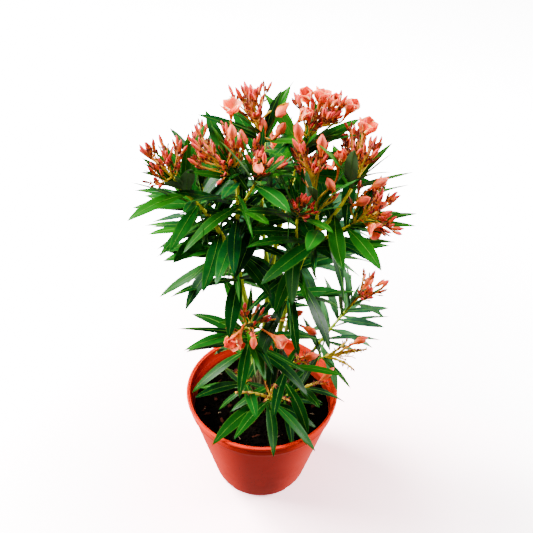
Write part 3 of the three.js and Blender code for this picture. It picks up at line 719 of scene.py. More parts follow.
def lump_noise(x, y, size, seed):
    """Smooth random heights from -1 to 1: a hash at the corners of a square lattice, blended."""
    gx = np.floor(x / size)
    gy = np.floor(y / size)
    fx = smooth(0, 1, x / size - gx)
    fy = smooth(0, 1, y / size - gy)

    def corner(ix, iy):
        value = np.sin(ix * 127.1 + iy * 311.7 + seed * 74.7) * 43758.5453
        return 2 * (value - np.floor(value)) - 1

    low = corner(gx, gy) * (1 - fx) + corner(gx + 1, gy) * fx
    high = corner(gx, gy + 1) * (1 - fx) + corner(gx + 1, gy + 1) * fx
    return low * (1 - fy) + high * fy


# Finishes

class Finish:
    """A material's node tree, with short calls for the nodes that the finishes below use."""

    def __init__(self, name, roughness, specular=0.0, **sockets):
        self.material = bpy.data.materials.new(name)
        self.material.use_nodes = True
        self.nodes = self.material.node_tree.nodes
        self.links = self.material.node_tree.links
        self.shader = self.nodes["Principled BSDF"]
        self.shader.inputs["Roughness"].default_value = roughness
        self.shader.inputs["Specular IOR Level"].default_value = specular
        for socket, value in sockets.items():
            self.shader.inputs[socket.replace("_", " ")].default_value = value
        self.relief_input = None

    def feed(self, socket, value):
        if isinstance(value, bpy.types.NodeSocket):
            self.links.new(value, socket)
        else:
            socket.default_value = (*value, 1) if socket.type == "RGBA" else value

    def node(self, kind, output, inputs=None, **settings):
        """An output of a new node, with its settings made and its inputs fed."""
        node = self.nodes.new("ShaderNode" + kind)
        for name, value in settings.items():
            setattr(node, name, value)
        for name, value in (inputs or {}).items():
            self.feed(node.inputs[name], value)
        return node.outputs[output]

    def math(self, operation, a, b=0.0):
        return self.node("Math", 0, {0: a, 1: b}, operation=operation)

    def scaled(self, value, factor, plus=None):
        """A value times a factor, with a second value or number added to it where there is one."""
        product = self.math("MULTIPLY", value, factor)
        return product if plus is None else self.math("ADD", product, plus)

    def place(self):
        return self.node("TexCoord", "Object")

    def surface(self):
        """The two pattern places of the piece: across and along."""
        uv = self.node("UVMap", 0, uv_map="surface")
        return self.node("SeparateXYZ", "X", {0: uv}), self.node("SeparateXYZ", "Y", {0: uv})

    def height(self):
        return self.node("SeparateXYZ", "Z", {0: self.place()})

    def distance(self, place):
        """Distance in metres from a place on the piece."""
        return self.node("VectorMath", "Value", {0: self.place(), 1: place}, operation="DISTANCE")

    def tint(self):
        return self.node("Attribute", "Fac", attribute_name="tint")

    def noise(self, scale, detail=3.0, roughness=0.5, stretch=(1, 1, 1)):
        place = self.node("Mapping", 0, {"Vector": self.place(), "Scale": stretch})
        inputs = {"Vector": place, "Scale": scale, "Detail": detail, "Roughness": roughness}
        return self.node("TexNoise", "Fac", inputs)

    def band(self, value, low, high):
        """0 below `low`, 1 above `high`, smooth between, or the reverse where low is above high."""
        inputs = {"Value": value, "From Min": min(low, high), "From Max": max(low, high)}
        if low > high:
            inputs.update({"To Min": 1, "To Max": 0})
        return self.node("MapRange", "Result", inputs, interpolation_type="SMOOTHSTEP")

    def blend(self, share, a, b):
        return self.node("Mix", 2, {"Factor": share, 6: a, 7: b}, data_type="RGBA")

    def laid(self, base, colour, share, value, low, high):
        """`colour` laid over `base` up to a share, as `value` goes from `low` to `high`."""
        return self.blend(self.scaled(self.band(value, low, high), share), base, colour)

    def colour(self, value):
        self.feed(self.shader.inputs["Base Color"], value)

    def gloss(self, value, extent, least):
        """Roughness that goes with a value from `least` up by an extent."""
        self.feed(self.shader.inputs["Roughness"], self.scaled(value, extent, least))

    def relief(self, value, depth, strength=1.0):
        """Bump of a depth in metres, on top of any relief that was given before."""
        inputs = {"Strength": strength, "Distance": depth, "Height": value}
        if self.relief_input:
            inputs["Normal"] = self.relief_input
        self.relief_input = self.node("Bump", 0, inputs)
        self.links.new(self.relief_input, self.shader.inputs["Normal"])


def shade(colour, factor):
    return tuple(min(1, channel * factor) for channel in colour)


# Sizes and colours that a user would change

def length_of(name, description, default):
    return FloatProperty(
        name=name, description=description, default=default, min=0, unit="LENGTH", precision=4,
    )


def colour_of(name, description, default):
    return FloatVectorProperty(
        name=name, description=description, default=default, subtype="COLOR", size=3, min=0, max=1,
    )


def share_of(name, description, default):
    return FloatProperty(
        name=name, description=description, default=default, min=0, max=1, subtype="FACTOR",
    )


def power_of(name, description, default):
    return FloatProperty(name=name, description=description, default=default, unit="POWER")


class PotSettings(bpy.types.PropertyGroup):
    height: length_of("Height", "From the ground to the top of the lip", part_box("pot")[1].z)
    lip_radius: length_of("Lip radius", "Outer radius of the lip", 0.12)
    lip_width: length_of("Lip width", "Width of the flat top of the lip", 0.006)
    lip_drop: length_of("Lip drop", "Height of the lip's outer face", 0.004)
    collar_radius: length_of("Collar radius", "Radius of the upright band under the lip", 0.117)
    collar_height: length_of("Collar height", "Height of the upright band under the lip", 0.017)
    top_radius: length_of("Top radius", "Radius of the tapered wall under the collar", 0.1145)
    base_radius: length_of("Base radius", "Radius of the tapered wall at the ground", 0.0758)
    wall: length_of("Wall", "Thickness of the wall", 0.0023)
    panel_radius: length_of("Panel radius", "Radius of the flat middle of the underside", 0.062)
    foot_height: length_of("Foot height", "Height of the feet and the ring groove", 0.004)
    foot_width: length_of("Foot width", "Width of the feet from the outside in", 0.0054)
    foot_span: FloatProperty(
        name="Foot span", description="Angle that each foot takes up", default=68 * DEGREE, subtype="ANGLE",
    )
    feet: IntProperty(name="Feet", description="Number of feet round the base", default=3, min=2, max=8)
    colour: colour_of("Colour", "Orange-red of the moulded plastic", (0.56, 0.0135, 0.0004))
    # This colour also gives the painted shade on the left of the pot's inside
    shade: colour_of("Shade", "Brown-red of stained places", (0.20, 0.004, 0.0012))


class SoilSettings(bpy.types.PropertyGroup):
    top: length_of("Top", "Height of the soil's surface", 0.145)
    relief: length_of("Relief", "Height of the lumps on its surface", 0.0022)
    crumbs: IntProperty(name="Crumbs", description="Loose crumbs on the surface", default=900, min=0)
    chips: IntProperty(name="Bark chips", description="Reddish chips of bark", default=34, min=0)
    straws: IntProperty(name="Straws", description="Pale bits of straw", default=20, min=0)
    colour: colour_of("Colour", "Damp dark potting soil", (0.0011, 0.0008, 0.0006))
    chip_colour: colour_of("Chip colour", "Reddish bark", (0.024, 0.007, 0.004))
    straw_colour: colour_of("Straw colour", "Dry pale straw", (0.15, 0.11, 0.065))


class StemSettings(bpy.types.PropertyGroup):
    node_step: length_of("Node step", "From one ring of leaf scars to the next", 0.027)
    ridges: share_of("Ridges", "Depth of the bark's ridges, as a share of the radius", 0.035)
    scars: share_of("Scars", "Height of the leaf scars, as a share of the radius", 0.16)
    young: colour_of("Young bark", "Yellow-green bark high up", (0.36, 0.50, 0.010))
    sunlit: colour_of("Sunlit bark", "Yellow bark under the flower heads", (0.66, 0.60, 0.012))
    old: colour_of("Old bark", "Grey-brown bark near the soil", (0.042, 0.031, 0.012))


class LeafSettings(bpy.types.PropertyGroup):
    thickness: length_of("Thickness", "Thickness of a blade beside its midrib", 0.00055)
    fold: share_of("Fold", "How far the halves of a blade rise from the midrib", 0.24)
    breadth: FloatProperty(name="Breadth", description="Width beside the solids", default=1.08, min=0.5)
    rib: length_of("Midrib", "Half width of the midrib at its base", 0.0008)
    deep: colour_of("Deep green", "Upper side of older leaves", (0.0004, 0.0175, 0.0005))
    middle: colour_of("Middle green", "Upper side of grown leaves", (0.0011, 0.036, 0.0006))
    fresh: colour_of("Fresh green", "Upper side of young leaves", (0.0055, 0.066, 0.0009))
    shaded: colour_of("Shaded green", "Bluish upper side of leaves on the shaded side", (0.017, 0.068, 0.021))
    under: colour_of("Underside", "Dull pale green of the underside", (0.060, 0.110, 0.036))
    rib_colour: colour_of("Midrib colour", "Pale yellow-green of the midrib", (0.055, 0.155, 0.011))


class FlowerSettings(bpy.types.PropertyGroup):
    petal: length_of("Petal length", "Length of a petal beyond the tube", 0.0175)
    petal_width: length_of("Petal width", "Half of a petal's widest place", 0.0082)
    tube: length_of("Tube", "Length of the funnel under the petals", 0.0150)
    furled: length_of("Furled flower", "Length of a flower that is about to open", 0.0285)
    petal_colour: colour_of("Petals", "Salmon pink", (0.86, 0.066, 0.026))
    pale_colour: colour_of("Pale petals", "Lighter pink of the palest flowers", (0.97, 0.17, 0.088))
    tube_colour: colour_of("Tube colour", "Orange of the funnel", (0.56, 0.085, 0.001))
    bud_colour: colour_of("Large buds", "Salmon red", (0.53, 0.034, 0.022))
    dark_bud_colour: colour_of("Small buds", "Dark red", (0.115, 0.009, 0.006))
    ray_colour: colour_of("Rays", "Reddish brown of the flower twigs", (0.44, 0.095, 0.008))


class StageSettings(bpy.types.PropertyGroup):
    sweep: length_of("Sweep", "Radius of the pale paper sweep", 7.0)
    key: power_of("Key light", "Power of the light from the left", 430)
    fill: power_of("Fill light", "Power of the light from the right", 235)
    top: power_of("Top light", "Power of the light overhead", 180)
    room: FloatProperty(name="Room", description="Brightness of the room's soft light", default=0.55, min=0)
    paper: power_of("Paper light", "Power of the light on the paper", 560)
    glow: FloatProperty(name="Paper glow", description="Own brightness of the far paper", default=7.2, min=0)


class OleanderSettings(bpy.types.PropertyGroup):
    pot: PointerProperty(type=PotSettings)
    soil: PointerProperty(type=SoilSettings)
    stems: PointerProperty(type=StemSettings)
    leaves: PointerProperty(type=LeafSettings)
    flowers: PointerProperty(type=FlowerSettings)
    stage: PointerProperty(type=StageSettings)


def shoots_now(context):
    return grow_shoots(context.scene.oleander.soil.top / MM)


# Pot

DIRTY_LIP = (0.110, -0.026, 0.165)  # where soil has smeared the lip
PAINTED_SHADE_WALL = (-0.115, 0.0, 0.15)  # middle of the darkest stretch of painted shade on the inside
DIRT = (0.045, 0.006, 0.004)
DUST = (0.42, 0.16, 0.09)
SPECKS = (0.05, 0.014, 0.01)


def foot_gap(turns, feet, span):
    """1 in the gaps between the feet and 0 on them, for turns about the vertical. The first foot
    faces -Y."""
    step = 2 * math.pi / feet
    from_foot = np.abs((turns + math.pi / 2 + step / 2) % step - step / 2)
    return smooth(span / 2 - 0.2 * DEGREE, span / 2 + 0.7 * DEGREE, from_foot)


def pot_turns(feet, span, steps=144):
    """Turns of the columns: even, with a few more on both sides of each foot's ends."""
    ends = [middle + side * span / 2 for middle in even_turns(feet) - math.pi / 2 for side in (-1, 1)]
    close = [end + offset * DEGREE for end in ends for offset in (-0.7, -0.2, 0.2, 0.7)]
    return np.unique(np.round(np.concatenate([even_turns(steps), np.mod(close, 2 * math.pi)]), 5))


def pot_section(pot):
    """Half section of the pot in millimetres, as (radius, height, share of the foot gap's lift):
    out along the underside, up the wall, over the lip, and down the inside to the floor."""
    height, lip, collar = pot.height / MM, pot.lip_radius / MM, pot.collar_radius / MM
    top, base, wall = pot.top_radius / MM, pot.base_radius / MM, pot.wall / MM
    panel, foot, foot_width = pot.panel_radius / MM, pot.foot_height / MM, pot.foot_width / MM
    lip_foot = height - pot.lip_drop / MM
    collar_foot = lip_foot - pot.collar_height / MM
    inner = lip - pot.lip_width / MM
    floor = foot + wall
    slope = (top - base) / collar_foot
    groove = base - foot_width
    ridge = collar_foot + 0.62 * (lip_foot - collar_foot)
    inside = collar - wall

    def outer(z):
        return base + slope * z

    return np.array([
        # Underside and feet
        (panel * 0.3, 0, 0), (panel - 0.4, 0, 0), (panel, 0.3, 0), (panel + 0.8, foot, 0),
        (groove - 1, foot, 0), (groove, 0.5, 1), (groove + 0.5, 0, 1), (base - 0.8, 0, 1),
        (outer(0.9), 0.9, 1),
        # Tapered wall and the step out to the collar
        *((outer(z), z, 0) for z in np.linspace(foot + 1, collar_foot - 0.6, 24)),
        (top + 0.3, collar_foot + 0.3, 0), (collar - 1.1, collar_foot + 1.2, 0),
        (collar - 0.55, collar_foot + 1.8, 0), (collar - 0.4, collar_foot + 2.6, 0),
        # Groove round the collar
        (collar - 0.2, ridge - 1.2, 0), (collar - 0.9, ridge - 0.5, 0), (collar - 0.9, ridge + 0.4, 0),
        (collar - 0.05, ridge + 1.2, 0), (collar, lip_foot - 0.8, 0), (collar + 0.5, lip_foot, 0),
        # Lip, with a groove along its top
        (lip - 0.9, lip_foot, 0), (lip - 0.2, lip_foot + 0.4, 0), (lip, lip_foot + 1.2, 0),
        (lip, height - 1.3, 0), (lip - 0.3, height - 0.5, 0), (lip - 1.1, height, 0),
        (inner + 2.9, height, 0), (inner + 2.5, height - 0.6, 0), (inner + 2.3, height - 1.5, 0),
        (inner + 1.6, height - 1.5, 0), (inner + 1.4, height - 0.9, 0), (inner + 0.3, height - 1, 0),
        (inner - 0.1, height - 1.8, 0),
        # Inside of the collar and the wall, and the floor
        (inside - 0.6, lip_foot - 2, 0), (inside - 0.6, collar_foot + 2.2, 0),
        (inside - 0.9, collar_foot + 1.4, 0), (outer(collar_foot) - wall, collar_foot, 0),
        *((outer(z) - wall, z, 0) for z in np.linspace(collar_foot - 1.2, floor + 1, 8)),
        (outer(floor) - wall - 1, floor, 0), (panel * 0.3, floor, 0),
    ])


def pot_finish(pot):
    """Moulded plastic: browner and duller low down and in blotches, with dust, specks and scuffs. Inside,
    which is where the places along the section are above 0.79, it is dirty and deeper; the deeper colour is
    painted shade that is darkest on the left. There is dirt on one side of the lip."""
    finish = Finish("moulded_plastic", 0.3, specular=0.05)
    colour, stained = pot.colour, pot.shade
    height = finish.height()
    blotches = finish.noise(14, detail=5, roughness=0.6)
    streaks = finish.noise(38, detail=4, roughness=0.65, stretch=(1, 1, 0.22))
    low = finish.band(height, 0.15, 0.0)
    stain = finish.scaled(finish.band(blotches, 0.42, 0.72), low)
    base = finish.blend(finish.scaled(stain, 0.35, finish.scaled(low, 0.06)), colour, stained)
    base = finish.laid(base, shade(colour, 1.35), 0.35, streaks, 0.55, 0.8)
    dust = finish.noise(120, detail=6, roughness=0.7)
    base = finish.laid(base, DUST, 0.12, dust, 0.60, 0.78)
    specks = finish.noise(420, detail=1)
    base = finish.laid(base, SPECKS, 0.6, specks, 0.70, 0.74)
    _, along = finish.surface()
    base = finish.laid(base, shade(colour, 0.62), 0.75, height, 0.161, 0.1635)
    # Painted shade: the inside is a deeper red, and darker still towards its left
    inside = finish.band(along, 0.775, 0.80)
    left = finish.band(finish.distance(PAINTED_SHADE_WALL), 0.20, 0.06)
    deep = finish.blend(left, shade(colour, 0.85), shade(stained, 1.2))
    base = finish.blend(inside, base, deep)
    soiled = finish.scaled(blotches, 0.9, finish.band(height, 0.160, 0.146))
    soiled = finish.scaled(finish.band(soiled, 0.75, 1.15), inside)
    base = finish.blend(finish.scaled(soiled, 0.85), base, DIRT)
    smudge = finish.band(finish.distance(DIRTY_LIP), 0.034, 0.008)
    smudge = finish.scaled(smudge, finish.band(dust, 0.36, 0.58))
    smudge = finish.scaled(smudge, finish.band(along, 0.69, 0.72))
    base = finish.blend(finish.scaled(smudge, 0.8), base, DIRT)
    finish.colour(base)
    finish.gloss(blotches, 0.28, 0.20)
    finish.relief(streaks, 0.0004, 0.25)
    finish.relief(dust, 0.00015, 0.3)
    return finish.material


class OLEANDER_OT_pot(bpy.types.Operator):
    """Nursery pot: a half section turned about the vertical, with its bottom edge lifted between feet"""

    bl_idname = "oleander.pot"
    bl_label = "Pot"

    def execute(self, context):
        pot = context.scene.oleander.pot
        radii, heights, lifts = pot_section(pot).T
        turns = pot_turns(pot.feet, pot.foot_span)
        gap = foot_gap(turns, pot.feet, pot.foot_span)
        lifted = np.maximum(heights[:, None], pot.foot_height / MM * gap)
        rings = revolved(radii, mix(heights[:, None], lifted, lifts[:, None]), turns)
        make_piece("pot_moulding", [pot_finish(pot)], "pot", rings, ["pot"], crease_angle=42 * DEGREE)
        return {"FINISHED"}


# Soil

SOIL_TAPER = 0.2416  # how much the soil narrows for each unit of depth
SOIL_PATCHES = (0.005, 0.0028, 0.0016)

# Litter on the soil: the settings of its number and colour, how bright that colour is made, its piece
# and finish, how far it keeps from the wall, ranges of its length and width, how flat it is, how far it
# is lifted as a share of its width, its sides and how much it is tilted
LITTER = (
    dict(
        count="crumbs", colour="colour", tone=1.4, piece="soil_crumbs", finish="dark_crumbs",
        roughness=1.0, margin=4, length=(2, 6.5), width=(0.9, 2.4), flat=0.8, lift=0.3, sides=5, tilt=0.5,
    ),
    dict(
        count="chips", colour="chip_colour", tone=1, piece="bark_chips", finish="red_bark", crease_angle=0.6,
        roughness=0.9, margin=8, length=(6, 15), width=(1.5, 3.2), flat=0.4, lift=0.5, sides=6, tilt=0.25,
    ),
    dict(
        count="straws", colour="straw_colour", tone=1, piece="straw_bits", finish="dry_straw",
        roughness=0.7, margin=8, length=(5, 15), width=(0.45, 0.9), flat=0.8, lift=1.4, sides=5, tilt=0.2,
    ),
)
LITTER_OUTLINE = (vector((0.02, 0.25, 0.7, 0.98)), vector((0.62, 1, 0.92, 0.5)))


def soil_height(soil, x, y):
    """Height of the soil in millimetres: its level with lumps of three sizes, a little lower at the
    wall."""
    lumps = lump_noise(x, y, 17, 1) + 0.7 * lump_noise(x, y, 8, 2) + 0.45 * lump_noise(x, y, 4, 3)
    edge = smooth(88, 108, np.hypot(x, y))
    return (soil.top + soil.relief * 0.62 * lumps) / MM - 2.5 * edge


def soil_finish(soil):
    """Damp crumbs: dark with browner and greyer grains and a rough relief."""
    finish = Finish("potting_soil", 1.0)
    grains = finish.noise(300, detail=5, roughness=0.7)
    patches = finish.noise(40, detail=3)
    base = finish.blend(finish.band(grains, 0.45, 0.75), soil.colour, shade(soil.colour, 3.4))
    finish.colour(finish.laid(base, SOIL_PATCHES, 0.5, patches, 0.5, 0.7))
    finish.relief(patches, 0.003, 0.6)
    finish.relief(grains, 0.0016, 0.9)
    return finish.material


def scattered(rng, count, reach):
    """Places spread evenly over a disc."""
    radius = reach * np.sqrt(rng.random(count))
    turn = 2 * math.pi * rng.random(count)
    return radius * np.cos(turn), radius * np.sin(turn)


def litter(rng, soil, count, reach, row):
    """Irregular bits that lie on the soil: short spindles in all directions, roughened and flattened."""
    x, y = scattered(rng, count, reach - row["margin"])
    turn = 2 * math.pi * rng.random(count)
    rise = rng.normal(0, row["tilt"], count)
    direction = unit(np.stack([np.cos(turn), np.sin(turn), rise], axis=-1))
    length = rng.uniform(*row["length"], count)
    width = rng.uniform(*row["width"], count)
    middle = np.stack([x, y, soil_height(soil, x, y) + row["lift"] * width], axis=-1)
    root = middle - direction * length[:, None] / 2
    rings = spindles(root, direction, length, width, LITTER_OUTLINE, row["sides"])
    offset = rings - middle[:, None, None]
    offset[..., 2] *= row["flat"]
    rough = 1 + rng.uniform(-0.28, 0.28, rings.shape[:3])
    return middle[:, None, None] + offset * rough[..., None]


def litter_finish(name, colour, roughness):
    """Bits of bark or straw: grain along and patches of a lighter and darker tone."""
    finish = Finish(name, roughness)
    grain = finish.noise(500, detail=4, roughness=0.7)
    base = finish.blend(finish.tint(), shade(colour, 0.55), shade(colour, 1.5))
    finish.colour(finish.blend(finish.band(grain, 0.4, 0.7), base, shade(colour, 0.4)))
    finish.relief(grain, 0.0005, 0.6)
    return finish.material


class OLEANDER_OT_soil(bpy.types.Operator):
    """Soil: a polar grid with lumpy relief, closed by its side and bottom, and litter lying on it"""

    bl_idname = "oleander.soil"
    bl_label = "Soil"

    def execute(self, context):
        soil = context.scene.oleander.soil
        low, high = (np.array(corner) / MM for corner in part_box("soil"))
        reach = high[0]
        base_reach = reach - (high[2] - low[2]) * SOIL_TAPER
        radii = np.concatenate([[base_reach * 0.3, base_reach, reach], np.linspace(reach - 0.6, 1.5, 44)])
        rings = revolved(radii, np.zeros(len(radii)), even_turns(168))
        rings[..., 2] = soil_height(soil, rings[..., 0], rings[..., 1])
        rings[:2, :, 2] = low[2]
        rings[2, :, 2] = rings[3, :, 2] - 1.5
        make_piece("soil_surface", [soil_finish(soil)], "soil", rings, ["soil"])
        rng = np.random.default_rng(11)
        for row in LITTER:
            count = getattr(soil, row["count"])
            bits = litter(rng, soil, count, reach, row)
            tints = rng.random(count)
            colour = shade(getattr(soil, row["colour"]), row["tone"])
            finish = litter_finish(row["finish"], colour, row["roughness"])
            make_piece(row["piece"], [finish], "soil", bits, (), row.get("crease_angle"), tint=tints)
        return {"FINISHED"}


# Stems

SCAR_REACH = 1.9  # millimetres from a node at which its leaf scars have sunk to a third


def bark_rings(shoot, start, end, stems, step=2.6, sides=14):
    """A shoot's own radius along its curve, times 1 + ridges cos(5 turn) + rings of three leaf scars
    that swell it at every node and turn by a sixth from one node to the next."""
    count = max(6, int(shoot.length * (end - start) / step))
    t = np.linspace(start, end, count)
    path = shoot.place(t[:, None])
    turn = even_turns(sides)
    along = (t * shoot.length)[:, None]
    node_step = stems.node_step / MM
    node = np.round(along / node_step)
    bulge = np.exp(-((along - node * node_step) / SCAR_REACH) ** 2)
    scar = bulge * (0.45 + 0.55 * np.cos(3 * (turn - node * math.pi / 3)))
    phase = between(0, 6.28, shoot.number, BARK_KEY)
    ridge = np.cos(5 * turn + phase + 0.02 * along) + 0.6 * np.cos(8 * turn - 0.05 * along)
    knots = lump_noise(turn * 3 + 40 * shoot.number, along, 7, 5)
    relief = 1 + stems.ridges * (ridge + 1.2 * knots) + stems.scars * scar
    if shoot.parent:
        relief = relief + 0.35 * np.exp(-along / 4)
    return carried(path, sides, shoot.radius_at(t)[:, None] * relief)


def bark_finish(name, lower, upper, from_height, to_height):
    """Young bark: greyer and browner low down, with fine lengthwise grain, pale pores and scars."""
    finish = Finish(name, 0.55, specular=0.12)
    height = finish.band(finish.height(), from_height, to_height)
    grain = finish.noise(260, detail=5, roughness=0.7, stretch=(1, 1, 0.18))
    pores = finish.noise(520, detail=2, stretch=(1, 1, 0.6))
    base = finish.blend(height, lower, upper)
    base = finish.laid(base, shade(lower, 0.55), 0.55, grain, 0.42, 0.72)
    finish.colour(finish.laid(base, shade(upper, 0.8), 0.4, pores, 0.64, 0.7))
    finish.gloss(grain, 0.25, 0.42)
    finish.relief(grain, 0.0005, 0.6)
    finish.relief(pores, 0.0003, 0.4)
    return finish.material


class OLEANDER_OT_stems(bpy.types.Operator):
    """Bare stems and boughs: tubes along their curves with bark ridges and rings of leaf scars"""

    bl_idname = "oleander.stems"
    bl_label = "Stems"

    def execute(self, context):
        stems = context.scene.oleander.stems
        shell = Shell()
        names = []
        for shoot in shoots_now(context).values():
            if shoot.inside:
                continue
            shell.add(bark_rings(shoot, 0, shoot.bare, stems))
            names.append(("bough_" if shoot.parent else "stem_") + shoot.name)
        finish = bark_finish("young_bark", stems.old, stems.young, 0.22, 0.50)
        shell.piece("stems_bark", [finish], "stem", names)
        return {"FINISHED"}


class OLEANDER_OT_twigs(bpy.types.Operator):
    """Leafy ends of the shoots, and the stalks that carry on from them to the flower heads"""

    bl_idname = "oleander.twigs"
    bl_label = "Twigs"

    def execute(self, context):
        stems = context.scene.oleander.stems
        shell = Shell()
        for shoot in shoots_now(context).values():
            shell.add(bark_rings(shoot, max(0, shoot.bare - 0.01), 1, stems, sides=10))
            if shoot.head:
                hub = shoot.on_stalk(shoot.head["stalk"] + 2)
                path = quadratic(shoot.place(0.97), shoot.tip, hub, np.linspace(0, 1, 10)[:, None])
                shell.add(carried(path, 8, np.linspace(shoot.radii[1] * 0.98, 1.5, 10)))
        # Painted light: the twigs are a darker green low in the crown, painted shade, and a sunlit yellow
        # high up, painted light
        finish = bark_finish("green_twigs", shade(stems.young, 0.7), stems.sunlit, 0.35, 0.62)
        shell.piece("leafy_twigs", [finish], "foliage")
        return {"FINISHED"}


# Leaves

# Ranges of the random draws that all leaves have, and of those of each kind of extra leaf
LEAF_LOOK = dict(
    twist=(11, -0.5, 0.5), bend=(12, -0.035, 0.035), fold=(13, 0.5, 1.4), wave=(14, 0, 6.28),
    age=(15, -0.35, 0.35), tint=(16, 0, 1),
)
YOUNG_DRAWS = dict(
    place=(1, 0, 0.75), lean=(2, 16, 50), turn=(3, -20, 20), length=(4, 40, 88), width=(5, 0.056, 0.076),
    sag=(6, 0.1, 0.5), roll=(7, -30, 30),
)
FILLING_DRAWS = dict(
    place=(1, 0.35, 0.65), lean=(2, -8, 8), length=(3, 0.72, 0.92), turn=(4, -14, 14), width=(5, 0.8, 0.98),
    sag=(6, 0.6, 1.3), roll=(7, -22, 22), presence=(9, 0, 1),
)
CROSSING_DRAWS = dict(
    place=(1, 0.1, 0.9), x=(2, -0.3, 0.3), z=(3, -0.1, 0.7), roll=(7, 50, 85), side=(8, 0, 1),
)
OUTWARD_DRAWS = dict(place=(1, 0, 1), y=(2, -0.45, 0.45), z=(3, -0.2, 0.35), roll=(7, -28, 28))
REACHING_DRAWS = dict(width=(5, 0.85, 1.05), sag=(6, 0.3, 0.6), roll=(7, -25, 25), age=(8, 0.1, 0.75))
YOUNG_LEAVES = 7  # on each flower stalk
SPIRAL_TURN = 137  # degrees from one leaf or bud to the next round a stalk
FILLING_LEFT_OUT = 0.52  # share of the filling leaves
CROSSING_STEP = 30  # millimetres of shoot to each crossing leaf
CROSSING_LENGTHS = (0.6, 0.88)  # beside the length of the shoot's leaves
OUTWARD_LENGTHS = (0.78, 1)
WIDEST_REACHING = 6.6  # millimetres
LOW_LEAVES = 345  # millimetres below which leaves are narrower, and darker as painted shade under the crown
LOW_BREADTH = 0.82
SHADED_SHOOTS = ("back", "back_right", "low_right")
HALF_SHADED_SHOOTS = ("back_left",)
HALF_SHADE = 0.35  # share of their leaves that are dull
FRESH_AGE = 1.25  # from which a leaf is fresh green
MIDDLE_AGE = 0.36  # from which it is middle green, and not deep
# Amounts taken off a leaf's age, which darkens it, for shoots inside the crown and for leaves low down:
# painted shade
INNER_PAINTED_SHADE = 0.45
LOW_PAINTED_SHADE = 0.85

BLADE_SHARES = np.linspace(0, 1, 14) ** 0.94  # places of a leaf's rings along its midrib
BLADE_COLUMNS = vector((-1, -0.5, 0, 0.5, 1))
BLADE_ACROSS = (0, 0.25, 0.5, 0.75, 1, 0.75, 0.5, 0.25, 0)
BLADE_KINDS = (1, 1, 1, 1, 0, 0, 0, 0)
BLADE_CREASES = (0, 4)


def blades(centre, edge, normal, half, lift, thickness):
    """Closed thin blades. Each section has five places across, at the shares BLADE_COLUMNS of its half
    width along `edge`, raised by `lift` along `normal`, with a skin above and below that meet at the
    margins. Arrays are (copies, rings, 3), (copies, rings) and (copies, rings, 5)."""
    skin = thickness / 2 * vector((0, 1, 1, 1, 0))
    middle = centre[:, :, None] + edge[:, :, None] * (half[..., None] * BLADE_COLUMNS)[..., None]
    upper = middle + normal[:, :, None] * (lift + skin)[..., None]
    lower = middle + normal[:, :, None] * (lift - skin)[..., None]
    return np.concatenate([lower[:, :, :4], upper[:, :, 4:], upper[:, :, 3:0:-1]], axis=2)


def blade_frames(leaves, t):
    """Midrib, edge direction and normal of each leaf at the shares t. The midrib is an arc that starts
    at `rise` above the level and turns down by `sag`, and the blade rolls and twists about it."""
    direction = column(leaves, "direction")
    rise = np.arcsin(np.clip(direction[:, 2], -1, 1))[:, None]
    level = unit(direction * vector((1, 1, 0)))[:, None]
    length, sag, roll = (column(leaves, name)[:, None] for name in ("length", "sag", "roll"))
    twist, bend = (drawn(leaves, *LEAF_LOOK[name])[:, None] for name in ("twist", "bend"))
    out, up = arc(rise, sag, length, t)
    centre = column(leaves, "base")[:, None] + level * out[..., None] + UP * up[..., None]
    across = np.cross(UP, level)
    plain = towards(UP, -level, rise - sag * t)
    turn = roll + twist * (t - 0.35)
    edge = towards(across, plain, turn)
    bow = (bend * length * np.sin(math.pi * t))[..., None]
    return centre + edge * bow, edge, towards(plain, -across, turn)


def blade_half(leaves, t, breadth):
    """Half width: the leaf's widest times sin(pi t^0.92)^0.78, over a thin petiole at the base. Leaves
    low down are narrower."""
    low = column(leaves, "base")[:, 2:] < LOW_LEAVES
    widest = column(leaves, "half")[:, None] * breadth * np.where(low, LOW_BREADTH, 1)
    share = np.sin(math.pi * np.clip((t - 0.045) / 0.955, 0, 1) ** 0.92) ** 0.78
    petiole = 1.25 * (1 - smooth(0.05, 0.2, t)) + 0.05
    return widest * share + petiole


def leaf_blades(leaves, settings):
    """Blades with halves folded up from the midrib, margins turned down and slightly waved."""
    t = BLADE_SHARES
    centre, edge, normal = blade_frames(leaves, t)
    half = blade_half(leaves, t, settings.breadth)
    fold, phase = (drawn(leaves, *LEAF_LOOK[name])[:, None, None] for name in ("fold", "wave"))
    wave = np.sin(t[:, None] * 13 + phase + BLADE_COLUMNS * 1.3) * 0.05
    away = np.abs(BLADE_COLUMNS)
    lift = half[..., None] * (fold * settings.fold * away - 0.16 * away ** 2 + wave * away)
    return blades(centre, edge, normal, half, lift, settings.thickness / MM)


def leaf_ribs(leaves, settings):
    """Midribs: diamonds that stand a little out of both faces, thinner towards the tip. Their rings are
    the blade's, so that both bend alike."""
    t = BLADE_SHARES[:-1]
    centre, edge, normal = blade_frames(leaves, t)
    taper = (1 - 0.6 * t)[:, None]
    wide = edge * (settings.rib / MM * taper)
    skin = settings.thickness / MM / 2
    above = normal * (skin + 0.15 + 0.5 * taper)
    below = normal * (skin + 0.55 * taper)
    return np.stack([centre - wide, centre - below, centre + wide, centre + above], axis=2)


